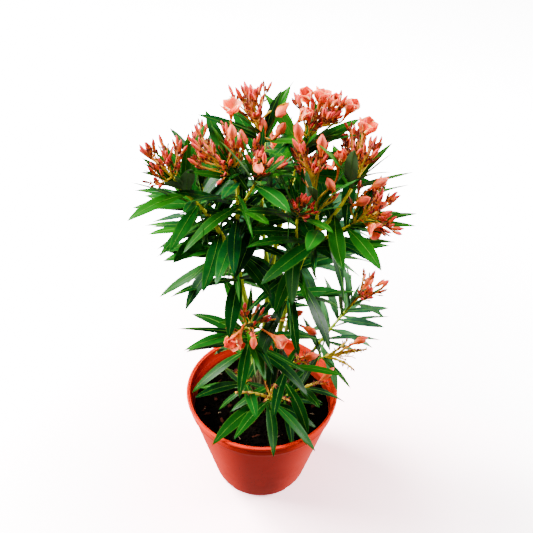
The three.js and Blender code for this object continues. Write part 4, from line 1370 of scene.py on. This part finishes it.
def leaf_finish(name, colour, rib_colour):
    """Upper side of a blade: waxy, from bluish dark to yellowish light by the leaf, with fine slanted
    side veins, a thin pale margin and a soft mottle."""
    finish = Finish(name, 0.4, specular=0.035)
    across, along = finish.surface()
    away = finish.math("ABSOLUTE", finish.math("SUBTRACT", finish.scaled(across, 2.0), 1.0))
    slanted = finish.math("SUBTRACT", finish.scaled(along, 160.0), finish.scaled(away, 14.0))
    veins = finish.scaled(finish.math("SINE", slanted), finish.math("SUBTRACT", 1.0, away))
    mottle = finish.noise(90, detail=3)
    red, green, blue = colour
    bluish = (0.5 * red, 0.55 * green, 0.5 * blue + 0.13 * green)
    yellowish = (1.7 * red + 0.08 * green, 1.7 * green, 1.7 * blue)
    base = finish.blend(finish.tint(), bluish, yellowish)
    base = finish.laid(base, shade(colour, 2.0), 0.35, mottle, 0.4, 0.75)
    base = finish.laid(base, rib_colour, 0.05, veins, 0.2, 1.0)
    finish.colour(finish.laid(base, rib_colour, 0.26, away, 0.84, 0.98))
    finish.gloss(mottle, 0.25, 0.22)
    finish.relief(veins, 0.0002, 0.2)
    return finish.material


def underside_finish(colour):
    """Dull pale underside with a fine grain."""
    finish = Finish("leaf_underside", 0.62, specular=0.03)
    grain = finish.noise(700, detail=2)
    base = finish.blend(finish.tint(), shade(colour, 0.7), shade(colour, 1.25))
    finish.colour(finish.laid(base, shade(colour, 0.6), 0.3, grain, 0.45, 0.75))
    return finish.material


def rib_finish(colour):
    """Midribs: pale yellow-green, greener in places."""
    finish = Finish("leaf_midrib", 0.45, specular=0.08)
    patches = finish.noise(60, detail=2)
    finish.colour(finish.blend(finish.band(patches, 0.35, 0.7), colour, shade(colour, 0.6)))
    return finish.material


def in_box(point, margin):
    """Whether a point in millimetres keeps a margin to the sides of the solids' box."""
    low, high = np.array(CAD_BOX) / MM
    return bool((point > low + margin).all() and (point < high - margin).all())


def shortened(base, direction, length, margin=2.0):
    """Length at which a straight line from a base stays within the solids' box."""
    while not in_box(base + direction * length, margin):
        length *= 0.9
    return length


def young_leaves(shoots):
    """Short narrow leaves that stand round the foot of each flower stalk."""
    for shoot in shoots.values():
        if not shoot.head or shoot.spent:
            continue
        for k in range(YOUNG_LEAVES):
            keys = (shoot.number, YOUNG_KEY + k)
            own = draws(YOUNG_DRAWS, keys)
            place = shoot.head["stalk"] * own["place"]
            direction = leaning(shoot.axis, own["lean"], SPIRAL_TURN * k + own["turn"])
            length = shortened(shoot.on_stalk(place), direction, own["length"], 4)
            half = length * own["width"]
            base = shoot.on_stalk(place * 0.8)
            yield leaf_of(shoot, keys, base, direction, length, half, own["sag"], own["roll"], 1.2)


def filling_whorls(shoots):
    """Leaves half way between the rule's whorls, a little shorter and with some left out, that fill the
    crown inside the reach of the ones beside them. The shoots with spent heads have none."""
    for shoot in shoots.values():
        places = [] if shoot.spent else shoot.whorl_places()
        for whorl, (low, high) in enumerate(zip(places, places[1:])):
            height = (whorl + 0.5) / (shoot.whorls - 1)
            for j in range(LEAF["per_whorl"]):
                keys = (shoot.number, FILLING_KEY + whorl, j)
                own = draws(FILLING_DRAWS, keys)
                if own["presence"] < FILLING_LEFT_OUT:
                    continue
                place = mix(low, high, own["place"])
                turn = shoot.turn + LEAF["whorl_turn"] * (whorl + 0.5) + 360 / LEAF["per_whorl"] * j
                lean = mix(*shoot.spread, height) + own["lean"]
                direction = leaning(shoot.heading(place), lean, turn + own["turn"])
                length = shoot.leaf * own["length"]
                half = length * LEAF["half_width"] * own["width"]
                sag = shoot.sag * DEGREE * own["sag"]
                yield leaf_of(
                    shoot, keys, shoot.place(place), direction, length, half, sag, own["roll"], height,
                )


def extra_leaf(shoot, keys, place, direction, lengths, roll):
    """Leaf of a shoot at a place and in a direction, shortened where it would leave the plant's box."""
    own = draws(dict(length=(4, *lengths), width=(5, 0.85, 1.1), sag=(6, 0.5, 1.1)), keys)
    base = shoot.place(place)
    length = shortened(base, direction, shoot.leaf * own["length"])
    half = length * LEAF["half_width"] * own["width"]
    sag = shoot.sag * DEGREE * own["sag"]
    return leaf_of(shoot, keys, base, direction, length, half, sag, roll, place * 0.9)


def crossing_leaves(shoots):
    """Leaves along each shoot that point to the front and back by turns and stand on edge, so that the
    crown is as full from its sides as from the front."""
    for shoot in shoots.values():
        if shoot.spent or shoot.whorls < 3:
            continue
        lowest = shoot.whorl_places()[0]
        count = int(shoot.length * (1 - lowest) / CROSSING_STEP)
        for k in range(count):
            keys = (shoot.number, CROSSING_KEY + k)
            own = draws(CROSSING_DRAWS, keys)
            place = mix(lowest, 0.97, (k + own["place"]) / count)
            direction = unit(vector((own["x"], 1 if k % 2 else -1, own["z"])))
            roll = own["roll"] if own["side"] < 0.5 else -own["roll"]
            yield extra_leaf(shoot, keys, place, direction, CROSSING_LENGTHS, roll)


def outward_leaves(shoots):
    """Leaves that reach out to the left and right of the crown, by the table."""
    for row, (name, direction, count, stretch) in enumerate(OUTWARD_LEAVES):
        shoot = shoots[name]
        for k in range(count):
            keys = (shoot.number, OUTWARD_KEY + row, k)
            own = draws(OUTWARD_DRAWS, keys)
            place = mix(*stretch, (k + own["place"]) / count)
            strayed = unit(vector(direction) + vector((0, own["y"], own["z"])))
            yield extra_leaf(shoot, keys, place, strayed, OUTWARD_LENGTHS, own["roll"])


def reaching_leaves(shoots):
    """Leaves of the table. Each leaves its shoot by half its sag above the straight line to its tip, and
    is longer than that line as an arc is than its chord."""
    for row, (name, place, tip) in enumerate(REACHING_LEAVES):
        shoot = shoots[name]
        keys = (shoot.number, REACHING_KEY, row)
        own = draws(REACHING_DRAWS, keys)
        base = shoot.place(min(place, LEAF["highest_base"]))
        span = vector(tip) - base
        chord = np.linalg.norm(span)
        rise = math.asin(span[2] / chord) + own["sag"] / 2
        direction = towards(unit(span * vector((1, 1, 0))), UP, np.array(rise))
        length = chord * own["sag"] / 2 / math.sin(own["sag"] / 2)
        half = min(chord * LEAF["half_width"], WIDEST_REACHING) * own["width"]
        yield leaf_of(shoot, keys, base, direction, length, half, own["sag"], own["roll"], own["age"])


def tone_of(leaf):
    """Tone of a leaf by its age, darker low down and deep in the crown, which is painted shade, with a few
    that differ from their neighbours. Some shoots on the shaded side are duller all over, and some in a few
    leaves."""
    shoot = leaf["shoot"]
    own = draws(LEAF_LOOK, leaf["keys"])
    half_shaded = shoot.name in HALF_SHADED_SHOOTS and own["tint"] < HALF_SHADE
    if half_shaded or shoot.name in SHADED_SHOOTS:
        return "shaded"
    age = leaf["age"] + own["age"] - (INNER_PAINTED_SHADE if shoot.inside else 0)
    if leaf["base"][2] < LOW_LEAVES:
        age -= LOW_PAINTED_SHADE
    if age > FRESH_AGE:
        return "fresh"
    return "middle" if age > MIDDLE_AGE else "deep"


class OLEANDER_OT_leaves(bpy.types.Operator):
    """Whorls of narrow leaves: thin blades by the growth rule, in four tones, with their midribs"""

    bl_idname = "oleander.leaves"
    bl_label = "Leaves"

    def execute(self, context):
        settings = context.scene.oleander.leaves
        shoots = shoots_now(context)
        leaves = [*grown_leaves(shoots), *filling_whorls(shoots), *young_leaves(shoots)]
        leaves += [*crossing_leaves(shoots), *outward_leaves(shoots), *reaching_leaves(shoots)]
        under = underside_finish(settings.under)
        masses = sorted({shoot.mass() for shoot in shoots.values()})
        for tone in ("deep", "middle", "fresh", "shaded"):
            group = [leaf for leaf in leaves if tone_of(leaf) == tone]
            finish = leaf_finish("leaf_" + tone, getattr(settings, tone), settings.rib_colour)
            make_piece(
                "leaves_" + tone, [finish, under], "foliage", leaf_blades(group, settings),
                masses if tone == "deep" else (), across=BLADE_ACROSS, kinds=BLADE_KINDS,
                tint=drawn(group, *LEAF_LOOK["tint"]), creases=BLADE_CREASES,
            )
        ribs = leaf_ribs(leaves, settings)
        make_piece("leaf_midribs", [rib_finish(settings.rib_colour)], "foliage", ribs)
        return {"FINISHED"}


# Flowers and buds

# Outlines of slim bodies: shares of the length, and the radius there beside the widest
BUD_OUTLINE = (
    vector((0, 0.12, 0.3, 0.5, 0.68, 0.84, 0.95)),
    vector((0.42, 0.55, 0.85, 1, 0.9, 0.55, 0.22)),
)
FURLED_OUTLINE = (
    vector((0, 0.15, 0.3, 0.42, 0.52, 0.62, 0.72, 0.82, 0.91, 0.98)),
    vector((0.30, 0.33, 0.48, 0.76, 0.95, 1, 0.9, 0.66, 0.36, 0.1)),
)
CALYX_OUTLINE = (vector((0, 0.3, 0.75, 1)), vector((0.62, 1.05, 1.1, 0.72)))
TUBE_OUTLINE = (vector((0, 0.25, 0.5, 0.75, 1.0)), vector((0.3, 0.36, 0.5, 0.78, 1)))
TWIGLET_OUTLINE = (vector((0, 0.5, 1)), vector((1, 0.8, 1.15)))
PETALS = 5
THROAT = 0.86  # share of the funnel at which the petals begin
RAY_RADII = (1.4, 0.95)  # millimetres at the foot and the end
BLOOM_TWIG_RADII = (1.6, 1.15)
SPENT_TWIG_RADII = (2.3, 1.4)
TWIGLET_RADIUS = 0.8
SECOND_RAY_DRAWS = dict(
    place=(1, 0.1, 1), turn=(2, -25, 25), spread=(3, 0.15, 1.05), length=(4, 0.5, 0.68), bud=(5, 0.8, 1.12),
)
TWIGLET_DRAWS = dict(turn=(2, -35, 35), lean=(3, 26, 54), bud=(6, 0, 1), pair=(7, 0, 1))
# Side twigs of a ray: the shares of it where a pair stands, the share that is left out, ranges of their
# reach and of their bud's length, how rare long buds are, and the shares without bud and with two more
TWIGLETS = dict(
    shares=(0.38, 0.56, 0.74, 0.88, 0.97), left_out=0.5, reach=(4, 15), sizes=(7, 21), rarity=1.9,
    bare=0, paired=0.6,
)
SPENT_TWIGLETS = dict(
    shares=(0.42, 0.6, 0.76, 0.9, 1.0, 1.0), left_out=0.3, reach=(2, 4.5), sizes=(4, 7.5), rarity=1,
    bare=0.5, paired=0,
)
SPENT_DRAWS = dict(place=(1, 0.3, 1), lean=(2, 20, 75), turn=(3, -25, 25), size=(4, 3.5, 8))
BUD_TINT = (40, 0, 1)
LARGE_BUD = 12.5  # millimetres
LOW_FLOWERS = 400  # millimetres below which flowers are of a deeper tone, painted shade under the crown
LOW_FLOWER_SHADE = 0.6
PETAL_FOOT = (0.66, 0.105, 0.001)
TUBE_LINES = (0.8, 0.3, 0.05)
TWIG_FOOT = (0.52, 0.38, 0.010)
BUD_FOOT = (0.62, 0.14, 0.002)
BUD_TIP = (0.50, 0.007, 0.024)
DARK_BUD_FOOT = (0.30, 0.09, 0.02)
CALYX_FOOT = (0.24, 0.10, 0.02)


def petal_blades(flowers, settings):
    """Five petals round each flower. A petal's middle line is an arc that leaves the axis at one angle
    and turns to another as the flower opens. Its half width grows as a smooth step to a rounded end,
    its sides curl in towards the axis, and one edge lies over the next petal."""
    t = np.linspace(0, 1, 8)
    axis, base, size, openness = (
        np.repeat(column(flowers, name), PETALS, axis=0) for name in ("axis", "throat", "size", "openness")
    )
    petals = [(flower["keys"], k) for flower in flowers for k in range(PETALS)]
    own = np.array([[chance(*keys, 20 + k, draw) for draw in range(4)] for keys, k in petals])
    turns = np.array([2 * math.pi * k / PETALS + 6 * chance(*keys, 19) for keys, k in petals])
    a, b = np.array([sideways(direction) for direction in axis]).transpose(1, 0, 2)
    radial = towards(a, b, turns)
    edge = np.cross(axis, radial)
    first = (16 + 30 * openness + 8 * own[:, 0])[:, None] * DEGREE
    last = (-22 + 105 * openness + 26 * (own[:, 1] - 0.5))[:, None] * DEGREE
    bend = np.where(np.abs(last - first) < 0.05, 0.05, last - first)
    length = (settings.petal / MM * size * (0.9 + 0.2 * own[:, 2]))[:, None]
    up, out = arc(first, -bend, length, t)  # here the axis is what the level is for a leaf
    start = base + radial * (2.6 * size)[:, None]
    centre = start[:, None] + axis[:, None] * up[..., None] + radial[:, None] * out[..., None]
    inward = towards(-radial[:, None], axis[:, None], first + bend * t)
    grown = 0.34 + 0.66 * smooth(0, 0.62, t)
    ended = np.clip(1 - (np.clip(t - 0.58, 0, 1) / 0.425) ** 2, 0.0, 1) ** 0.7
    half = (settings.petal_width / MM * size)[:, None] * (grown * ended + 0.02)
    lean = (0.16 + 0.2 * own[:, 3])[:, None, None] * BLADE_COLUMNS
    curl = 0.5 * (1 - 0.7 * openness)[:, None, None] * BLADE_COLUMNS ** 2
    along = t[:, None]
    ruffle = 0.10 * np.sin(9 * along + 6 * own[:, :1, None] + 2.5 * BLADE_COLUMNS) * along
    lift = half[..., None] * (curl + lean + ruffle * np.abs(BLADE_COLUMNS))
    side = np.broadcast_to(edge[:, None], centre.shape)
    tints = np.array([chance(*keys, 18) for keys, _ in petals]) + 0.3 * (own[:, 0] - 0.5)
    return blades(centre, side, inward, half, lift, 0.35), shaded_low_tints(tints, base)


def shaded_low_tints(tints, places):
    """Tints of flowers, deeper for the ones low down: painted shade under the crown."""
    return np.clip(tints - LOW_FLOWER_SHADE * (places[:, 2] < LOW_FLOWERS), 0, 1)


def second_rays(shoots):
    """More rays between the ones that the solids hold, from lower on the stalk. The upright ones reach
    as far as the head, and the others less far."""
    for shoot in shoots.values():
        if not shoot.head or shoot.spent or shoot.name.startswith("low"):
            continue
        head = shoot.head
        count = head["rays"] - 2
        for i in range(count):
            keys = (shoot.number, SECOND_RAY_KEY + i)
            own = draws(SECOND_RAY_DRAWS, keys)
            hub = shoot.on_stalk(head["stalk"] * own["place"])
            turn = 360 * (i + 0.5) / count + head["turn"] + own["turn"]
            direction = unit(leaning(shoot.axis, head["width"] * own["spread"], turn) + UP * 0.15)
            bud = unit(direction + UP * 0.4) * LEADING_BUD * own["bud"]
            length = head["reach"] * (own["length"] + 0.42 * (1 - own["spread"]))
            length = shortened(hub + bud, direction, length)
            yield ray_of(shoot, keys, hub, direction, length, 0.4, own["bud"])


def placed_blooms(shoots):
    """Flowers of the table, and the twig that brings each one from the stalk of its head."""
    flowers, furled, twigs = [], [], []
    for index, (name, kind, foot, axis) in enumerate(BLOOMS):
        shoot = shoots[name]
        keys = (shoot.number, BLOOM_KEY + index)
        root, axis = vector(foot), unit(vector(axis))
        entry = dict(keys=keys, root=root, axis=axis, size=GAIN[kind] * between(0.92, 1.1, *keys, 30))
        if kind == "furled":
            furled.append(entry)
        else:
            entry["openness"] = between(*OPENNESS[kind], *keys, 32)
            flowers.append(entry)
        rise = (root - shoot.tip) @ shoot.axis
        start = shoot.on_stalk(min(max(rise * 0.45, 0), shoot.head["stalk"]))
        reach = np.linalg.norm(root - start) * 0.35
        first, second = start + shoot.axis * reach, root - axis * reach
        t = np.linspace(0, 1, 9)[:, None]
        path = mix(quadratic(start, first, second, t), quadratic(first, second, root, t), t)
        twigs.append((path, keys))
    return flowers, furled, twigs


def side_buds(ray, spent):
    """Side twigs in pairs up a ray. Each ends in a bud, most of them small, and often carries two tiny
    buds below it. Spent rays have shorter ones, half of them bare. Yields the twig (start, end) and its
    buds as (keys, root, axis, size)."""
    kind = SPENT_TWIGLETS if spent else TWIGLETS
    for k, share in enumerate(kind["shares"]):
        for side in (0, 1):
            keys = (*ray["keys"], TWIGLET_KEY + 2 * k + side)
            if chance(*keys, 1) < kind["left_out"]:
                continue
            own = draws(TWIGLET_DRAWS, keys)
            root = ray["hub"] + ray["ray"] * ray["length"] * share
            turn = 180 * side + 80 * k + own["turn"]
            direction = leaning(ray["ray"], own["lean"] * (1.1 - 0.35 * share), turn)
            direction = unit(direction + UP * 0.35)
            reach = between(*kind["reach"], *keys, 4) * (1 if spent else 1.2 - 0.5 * share)
            size = mix(*kind["sizes"], chance(*keys, 5) ** kind["rarity"])
            end = root + direction * reach
            buds = []
            if own["bud"] >= kind["bare"]:
                buds.append((keys, end, unit(direction + UP * 0.25), size))
            for pair in (0, 1) if own["pair"] < kind["paired"] else ():
                tiny = (*keys, 60 + pair)
                lean = leaning(direction, between(24, 46, *tiny, 1), turn + 90 + 180 * pair)
                place = root + direction * reach * 0.8
                buds.append((tiny, place, unit(lean + UP * 0.1), between(4.5, 8, *tiny, 2)))
            yield (root, end), buds


def spent_twigs(shoots):
    """Bare twigs of the table, bent up a little from the stalk to their end, and the tiny dry buds that
    crowd their outer part. Yields the path, its keys and the buds."""
    for index, (name, end) in enumerate(SPENT_TWIGS):
        shoot = shoots[name]
        keys = (shoot.number, SPENT_KEY + index)
        start = shoot.on_stalk(shoot.head["stalk"] * 0.4)
        end = vector(end)
        middle = mix(start, end, 0.4) + shoot.axis * 12
        path = quadratic(start, middle, end, np.linspace(0, 1, 36)[:, None])
        buds = []
        for k in range(20):
            own = draws(SPENT_DRAWS, (*keys, k))
            direction = leaning(unit(end - middle), own["lean"], SPIRAL_TURN * k + own["turn"])
            buds.append(dict(
                keys=(*keys, k), root=path[int(own["place"] * 35)], axis=unit(direction + UP * 0.2),
                size=own["size"],
            ))
        yield path, keys, buds


def flower_parts(shoots):
    """All flowers, furled flowers, large and small buds, rays and short twigs."""
    flowers, furled, paths = placed_blooms(shoots)
    placed = {row[0] for row in BLOOMS}
    large, small, twigs = [], [], []
    rays = [*grown_rays(shoots), *second_rays(shoots)]
    for ray in rays:
        keys = ray["keys"]
        spent = ray["shoot"].spent
        lead = dict(keys=keys, root=ray["end"], axis=ray["lead"], size=ray["size"])
        if ray["is_open"] and ray["shoot"].name not in placed:
            lead["size"] = between(0.86, 1.06, *keys, 30)
            if chance(*keys, 31) < 0.5:
                lead["openness"] = between(*OPENNESS["tulip"], *keys, 32)
                flowers.append(lead)
            else:
                furled.append(lead)
        elif not spent and chance(*keys, 36) < 0.7:
            large.append(lead)
        elif not spent:
            small.append(dict(lead, size=lead["size"] * 0.5))
        for twig, buds in side_buds(ray, spent):
            twigs.append(twig)
            for own, root, axis, size in buds:
                group = large if size > LARGE_BUD else small
                group.append(dict(keys=own, root=root, axis=axis, size=size))
    return flowers, furled, large, small, rays, paths, twigs


def petal_finish(name, colour, pale, lines_round):
    """Thin silky petal: its own tone, paler towards the margin, orange at the foot, with fine veins."""
    finish = Finish(name, 0.5, specular=0.15, Subsurface_Weight=0.7, Subsurface_Scale=0.004)
    across, along = finish.surface()
    wound = finish.math("SUBTRACT", finish.scaled(across, lines_round), finish.scaled(along, 9.0))
    lines = finish.math("SINE", wound)
    base = finish.blend(finish.tint(), shade(colour, 0.75), pale)
    base = finish.laid(base, shade(colour, 0.5), 0.5, lines, 0.55, 1.0)
    finish.colour(finish.laid(base, PETAL_FOOT, 0.94, along, 0.85, 0.2))
    finish.relief(lines, 0.0001, 0.3)
    return finish.material


def bud_finish(name, colour, foot_colour, tip_colour, roughness):
    """Furled bud: its tone by the bud, more orange at the foot and deeper at the tip, with a mottle."""
    finish = Finish(name, roughness, specular=0.2)
    _, along = finish.surface()
    mottle = finish.noise(260, detail=3)
    base = finish.blend(finish.tint(), shade(colour, 0.4), shade(colour, 1.4))
    base = finish.laid(base, foot_colour, 0.9, along, 0.75, 0.1)
    base = finish.laid(base, tip_colour, 0.8, along, 0.5, 1.0)
    finish.colour(finish.laid(base, shade(colour, 1.5), 0.3, mottle, 0.5, 0.75))
    return finish.material


def tube_finish(colour):
    """Funnel under the petals: orange, paler in fine lengthwise lines."""
    finish = Finish("flower_funnel", 0.5, specular=0.15)
    across, _ = finish.surface()
    lines = finish.math("SINE", finish.scaled(across, 62.8))
    base = finish.blend(finish.tint(), shade(colour, 0.85), shade(colour, 1.15))
    finish.colour(finish.laid(base, TUBE_LINES, 0.15, lines, 0.2, 1.0))
    return finish.material


def twiglet_finish(colour):
    """Flower twigs: yellow-green at the foot and reddish brown towards the buds, with a fine grain."""
    finish = Finish("flower_twigs", 0.6, specular=0.2)
    _, along = finish.surface()
    patches = finish.noise(45, detail=2)
    grain = finish.noise(400, detail=3)
    ripe = finish.scaled(finish.tint(), 0.35, along)
    base = finish.blend(finish.band(ripe, 0.45, 1.25), TWIG_FOOT, colour)
    base = finish.laid(base, shade(colour, 0.5), 0.4, patches, 0.5, 0.7)
    finish.colour(finish.laid(base, shade(colour, 1.5), 0.3, grain, 0.5, 0.75))
    return finish.material


def slim_piece(name, finish, entries, length, width, outline, sides, lobing=(), tints=None, sunk=0.0):
    """Piece of one spindle for each entry. Its length and its width are a share of the entry's size and a
    part that is the same for all, and it starts `sunk` below the entry's root."""
    roots, axes, sizes = (column(entries, key) for key in ("root", "axis", "size"))
    lengths, widths = (share * sizes + fixed for share, fixed in (length, width))
    rings = spindles(roots - axes * sunk, axes, lengths, widths, outline, sides, *lobing)
    make_piece(name, [finish], "foliage", rings, tint=drawn(entries, *BUD_TINT) if tints is None else tints)


class OLEANDER_OT_flowers(bpy.types.Operator):
    """Flower heads: rays from each hub, open and furled flowers, and buds of all sizes on short twigs"""

    bl_idname = "oleander.flowers"
    bl_label = "Flowers and buds"

    def execute(self, context):
        settings = context.scene.oleander.flowers
        shoots = shoots_now(context)
        flowers, furled, large, small, rays, paths, twigs = flower_parts(shoots)
        spent = list(spent_twigs(shoots))
        for _, _, buds in spent:
            small.extend(buds)
        self.make_twigs(settings, rays, paths, twigs, spent)
        self.make_flowers(settings, flowers, furled)
        self.make_buds(settings, furled, large, small)
        return {"FINISHED"}

    def make_twigs(self, settings, rays, paths, twigs, spent):
        """Rays: tubes that bow a little between hub and end. Short twigs: straight and thinner. Bare
        twigs: thicker, with a ring of scars every few millimetres."""
        shell = Shell()
        t = np.linspace(0, 1, 8)
        for ray in rays:
            bow = between(-0.06, 0.08, *ray["keys"], 33) * ray["length"]
            path = mix(ray["hub"], ray["end"], t[:, None]) + UP * bow * np.sin(math.pi * t)[:, None]
            radius = mix(*RAY_RADII, t) * (1 + 0.28 * np.sin(t * 23) ** 6)
            shell.add(carried(path, 7, radius), tint=chance(*ray["keys"], 34))
        for path, keys in paths:
            radius = np.linspace(*BLOOM_TWIG_RADII, len(path))
            shell.add(carried(path, 7, radius), tint=chance(*keys, 34))
        for path, keys, _ in spent:
            share = np.linspace(0, 1, len(path))
            radius = mix(*SPENT_TWIG_RADII, share) * (1 + 0.4 * np.sin(share * 17) ** 10)
            shell.add(carried(path, 8, radius), along=share * 0.9, tint=0.1)
        starts, ends = np.array(twigs).transpose(1, 0, 2)
        lengths = np.linalg.norm(ends - starts, axis=1)
        widths = np.full(len(twigs), TWIGLET_RADIUS)
        rings = spindles(starts, unit(ends - starts), lengths, widths, TWIGLET_OUTLINE, 5)
        shell.add(rings, along=(0.55, 0.75, 1), tint=0.6)
        shell.piece("flower_twigs", [twiglet_finish(settings.ray_colour)], "foliage")

    def make_flowers(self, settings, flowers, furled):
        """Petals of the open flowers, the furled flowers, and the funnels under the open ones."""
        tube = settings.tube / MM
        for flower in flowers:
            flower["throat"] = flower["root"] + flower["axis"] * tube * flower["size"] * THROAT
        rings, tints = petal_blades(flowers, settings)
        finish = petal_finish("salmon_petals", settings.petal_colour, settings.pale_colour, 46)
        make_piece(
            "open_petals", [finish], "foliage", rings, across=BLADE_ACROSS, tint=tints, creases=BLADE_CREASES,
        )
        pink, pale = shade(settings.petal_colour, 0.65), shade(settings.pale_colour, 0.8)
        finish = petal_finish("furled_petals", pink, pale, 31.416)
        length = settings.furled / MM
        tints = shaded_low_tints(drawn(furled, *BUD_TINT), column(furled, "root"))
        slim_piece(
            "furled_flowers", finish, furled, (length, 0), (5, 0), FURLED_OUTLINE, 15, (5, 0.11, 3.2), tints,
        )
        finish = tube_finish(settings.tube_colour)
        slim_piece("flower_funnels", finish, flowers, (tube, 0), (3.7, 0), TUBE_OUTLINE, 12)

    def make_buds(self, settings, furled, large, small):
        """Large and small buds, and the calyx cups of the furled flowers and the large buds."""
        finish = bud_finish("salmon_buds", settings.bud_colour, BUD_FOOT, BUD_TIP, 0.42)
        slim_piece("large_buds", finish, large, (1, 0), (0.115, 0.25), BUD_OUTLINE, 10, (5, 0.07, 2.4))
        dark = settings.dark_bud_colour
        finish = bud_finish("dark_buds", dark, DARK_BUD_FOOT, shade(dark, 0.8), 0.5)
        slim_piece("small_buds", finish, small, (1, 0), (0.11, 0.35), BUD_OUTLINE, 6)
        finish = bud_finish("calyx", shade(dark, 0.9), CALYX_FOOT, shade(dark, 1.2), 0.6)
        cups = furled + large
        slim_piece("calyx_cups", finish, cups, (0, 4.6), (0, 1.75), CALYX_OUTLINE, 10, (5, 0.12), 0.5, 0.8)


# Stage

CAMERA_PLACE = (0.00192, -0.852, 1.1458)
CAMERA_PITCH = 39.9 * DEGREE
CAMERA_ROLL = 1.5 * DEGREE
CAMERA_FOCUS = 800 / 533  # focal length over the picture's width
# Near the pot the paper and its glow are pink and dim: a painted shadow with painted pink light from the pot
PAINTED_SHADOW_PAPER = (0.95, 0.68, 0.71)
FAR_PAPER = (0.93, 0.92, 0.92)
PAINTED_SHADOW_GLOW = (0.17, 0.095, 0.108)


def area_light(name, place, target, size, power):
    """Soft square light that faces a target."""
    data = bpy.data.lights.new(name, "AREA")
    data.size = size
    data.energy = power
    lamp = bpy.data.objects.new(name, data)
    bpy.context.scene.collection.objects.link(lamp)
    lamp.location = place
    lamp.rotation_mode = "QUATERNION"
    lamp.rotation_quaternion = (Vector(target) - Vector(place)).to_track_quat("-Z", "Y")
    return lamp


class OLEANDER_OT_stage(bpy.types.Operator):
    """Pale floor, soft studio lights and the camera at the usual view"""

    bl_idname = "oleander.stage"
    bl_label = "Stage"

    def execute(self, context):
        stage = context.scene.oleander.stage
        self.make_sweep(stage)
        area_light("key_light", (-1.9, 0.3, 1.4), (0, 0, 0.35), 1.0, stage.key)
        area_light("fill_light", (1.95, 0.35, 1.1), (0, 0, 0.35), 0.9, stage.fill)
        top = area_light("top_light", (-0.3, 0.3, 2.7), (0, 0, 0.3), 1.2, stage.top)
        top.visible_glossy = False
        world = bpy.data.worlds.new("white_room")
        world.use_nodes = True
        background = world.node_tree.nodes["Background"]
        background.inputs["Color"].default_value = (1, 1, 1, 1)
        background.inputs["Strength"].default_value = stage.room
        context.scene.world = world
        self.make_camera(context)
        return {"FINISHED"}

    def make_sweep(self, stage):
        """Paper sweep: a flat disc that curves up into a wall all round, as a section turned about the
        vertical. It glows by itself and has a light of its own. Close to the pot its glow is dimmer and its
        glow and colour are pinker: a painted shadow with painted pink light from the pot."""
        reach = stage.sweep / MM
        bend = reach * 0.35
        curve = np.linspace(0, math.pi / 2, 16)
        flat = np.linspace(40, reach - bend, 24)
        radii = np.concatenate([flat, reach - bend + bend * np.sin(curve[1:]), [reach, reach * 0.9]])
        heights = np.concatenate([np.zeros(24), bend * (1 - np.cos(curve[1:])), [reach * 0.9, reach * 1.1]])
        finish = Finish("pale_paper", 0.9)
        distance = finish.distance((0, 0, 0))
        # Painted shadow with painted pink light from the pot: a dim pink glow and pink paper close to the pot
        glow = finish.blend(finish.band(distance, 0.35, 1.3), PAINTED_SHADOW_GLOW, (1, 1, 1))
        finish.colour(finish.blend(finish.band(distance, 0.08, 0.6), PAINTED_SHADOW_PAPER, FAR_PAPER))
        finish.feed(finish.shader.inputs["Emission Color"], glow)
        finish.shader.inputs["Emission Strength"].default_value = stage.glow
        shell = Shell()
        shell.add(revolved(radii, heights, even_turns(64))[:, ::-1])
        sweep = shell.loose("paper_sweep", [finish.material])
        sweep.visible_diffuse = False
        sweep.visible_glossy = False
        sweep.visible_shadow = False
        only_paper = bpy.data.collections.new("only_paper")
        only_paper.objects.link(sweep)
        lamp = area_light("paper_light", (-1.5, 0.9, 2.0), (0.1, 0, 0), 0.7, stage.paper)
        lamp.light_linking.receiver_collection = only_paper

    def make_camera(self, context):
        forward = Vector((0, math.cos(CAMERA_PITCH), -math.sin(CAMERA_PITCH)))
        level = Vector((1, 0, 0))
        above = level.cross(forward)
        right = level * math.cos(CAMERA_ROLL) + above * math.sin(CAMERA_ROLL)
        up = above * math.cos(CAMERA_ROLL) - level * math.sin(CAMERA_ROLL)
        data = bpy.data.cameras.new("camera")
        data.sensor_width = 36
        data.lens = 36 * CAMERA_FOCUS
        camera = bpy.data.objects.new("camera", data)
        context.scene.collection.objects.link(camera)
        turned = Matrix((right, up, -forward)).transposed().to_4x4()
        camera.matrix_world = Matrix.Translation(CAMERA_PLACE) @ turned
        context.scene.camera = camera


class OLEANDER_PT_panel(bpy.types.Panel):
    """Lists a button for each operator that makes a piece of the scene"""

    bl_label = "Oleander"
    bl_idname = "OLEANDER_PT_panel"
    bl_space_type = "VIEW_3D"
    bl_region_type = "UI"
    bl_category = "Oleander"

    def draw(self, context):
        layout = self.layout
        for operator in OPERATORS:
            layout.operator(operator.bl_idname)


OPERATORS = (
    OLEANDER_OT_stage, OLEANDER_OT_pot, OLEANDER_OT_soil, OLEANDER_OT_stems, OLEANDER_OT_twigs,
    OLEANDER_OT_leaves, OLEANDER_OT_flowers,
)
CLASSES = (
    PotSettings, SoilSettings, StemSettings, LeafSettings, FlowerSettings, StageSettings, OleanderSettings,
    *OPERATORS, OLEANDER_PT_panel,
)


def register():
    for kind in CLASSES:
        bpy.utils.register_class(kind)
    bpy.types.Scene.oleander = PointerProperty(type=OleanderSettings)


def unregister():
    del bpy.types.Scene.oleander
    for kind in reversed(CLASSES):
        bpy.utils.unregister_class(kind)


def main():
    register()
    bpy.ops.oleander.stage()
    bpy.ops.oleander.pot()
    bpy.ops.oleander.soil()
    bpy.ops.oleander.stems()
    bpy.ops.oleander.twigs()
    bpy.ops.oleander.leaves()
    bpy.ops.oleander.flowers()


if __name__ == "__main__":
    main()
